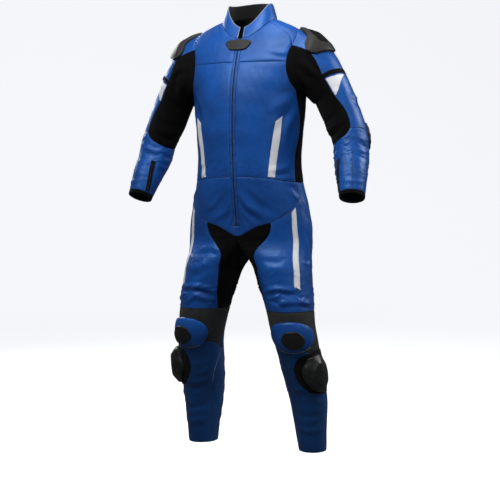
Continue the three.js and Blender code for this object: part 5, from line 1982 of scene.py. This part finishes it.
@dataclass(frozen=True)
class Studio:
    """Pale sweep, soft lights and the camera."""

    floor: float = -1.5
    azimuth: float = 24.0
    distance: float = 4.0
    camera_height: float = -0.5
    aim_height: float = -0.71
    focal: float = 87.3
    cove: float = 7.0
    bend: float = 2.2
    wall: float = 5.5
    lamps: tuple[tuple[str, tuple, tuple, float, float], ...] = (
        ("key", (-0.9, -2.4, 1.7), (0.0, 0.0, -0.35), 1.3, 33.0),
        ("chest", (0.3, -1.0, 0.9), (0.1, -0.1, -0.25), 0.6, 12.5),
        ("top", (0.1, -0.3, 1.3), (0.0, 0.0, -0.3), 0.9, 9.0),
        ("fill", (2.8, -2.2, 0.4), (0.0, 0.0, -0.4), 1.4, 9.0),
        ("edge_left", (2.4, 1.2, 0.9), (0.2, 0.0, -0.4), 1.0, 34.0),
        ("edge_right", (-2.4, 1.4, 0.8), (-0.2, 0.0, -0.4), 1.0, 30.0))

    def build(self) -> None:
        """Makes everything that isn't the suit."""
        self.sweep()
        self.lights()
        self.camera()

    def sweep(self) -> None:
        """A pale round cove: a floor that turns up into a wall on every side."""
        turn = np.linspace(0.0, 2.0 * np.pi, 97)
        bend = np.linspace(0.0, np.pi / 2, 13)
        reach = np.concatenate([[0.0, 2.0, 4.0], self.cove - self.bend * (1.0 - np.sin(bend)), [self.cove]])
        rise = np.concatenate([[0.0, 0.0, 0.0], self.bend * (1.0 - np.cos(bend)), [self.wall]])
        points = stack(reach[:, None] * np.cos(turn), reach[:, None] * np.sin(turn), self.floor + rise[:, None])
        cove = make_object("studio_cove", points.reshape(-1, 3), grid_faces(len(reach), len(turn), 0)[:, ::-1])
        made = bpy.data.materials.new("pale_cove")
        made.use_nodes = True
        shader = made.node_tree.nodes["Principled BSDF"]
        tree = Tree(made.node_tree)
        cloud = tree.add("TexNoise", {"Vector": tree.add("TexCoord").outputs["Object"], "Scale": 0.8, "Detail": 3.0})
        colour = tree.mix(cloud.outputs[0], rgb(0.88, 0.89, 0.9), rgb(0.91, 0.91, 0.92))
        tree.tree.links.new(colour, shader.inputs["Base Color"])
        shader.inputs["Roughness"].default_value = 0.85
        shader.inputs["Emission Color"].default_value = rgb(0.95, 0.96, 1.0)
        shader.inputs["Emission Strength"].default_value = 0.8
        cove.data.materials.append(made)
        cove.visible_diffuse = cove.visible_glossy = False

    def lights(self) -> None:
        """A dim pale surround, and the soft lamps: key, chest and top in front, a fill, and two edge lights behind."""
        world = bpy.data.worlds.new("pale_surround")
        bpy.context.scene.world = world
        world.use_nodes = True
        background = world.node_tree.nodes["Background"]
        background.inputs["Color"].default_value = rgb(0.95, 0.97, 1.0)
        background.inputs["Strength"].default_value = 0.1
        for name, spot, aim, size, power in self.lamps:
            data = bpy.data.lights.new(f"{name}_light", "AREA")
            data.size, data.energy = size, power
            lamp = bpy.data.objects.new(f"{name}_light", data)
            lamp.location = spot
            lamp.rotation_euler = (Vector(aim) - Vector(spot)).to_track_quat("-Z", "Y").to_euler()
            bpy.context.scene.collection.objects.link(lamp)

    def camera(self) -> None:
        """The photograph's view: to the suit's left of straight ahead, a little above the middle."""
        data = bpy.data.cameras.new("camera")
        data.lens, data.sensor_width = self.focal, 36.0
        data.clip_end = 100.0
        camera = bpy.data.objects.new("camera", data)
        turn = math.radians(self.azimuth)
        camera.location = (self.distance * math.sin(turn), -self.distance * math.cos(turn), self.camera_height)
        aim = Vector((0.0, 0.0, self.aim_height)) - camera.location
        camera.rotation_euler = aim.to_track_quat("-Z", "Y").to_euler()
        bpy.context.scene.collection.objects.link(camera)
        bpy.context.scene.camera = camera


def main() -> None:
    """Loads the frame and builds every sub-assembly round it."""
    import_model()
    bpy.context.scene.view_settings.view_transform = "Standard"
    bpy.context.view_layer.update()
    Studio().build()
    build_groups()
    pattern = Pattern()
    Torso(pattern, "torso").build()
    StandCollar(pattern, "collar").build()
    LowerBody(pattern, "legs").build()
    Sleeves(pattern, "sleeves").build()
    Armour(pattern, "armour").build()


if __name__ == "__main__":
    logging.basicConfig(level=logging.INFO, format="%(message)s")
    main()
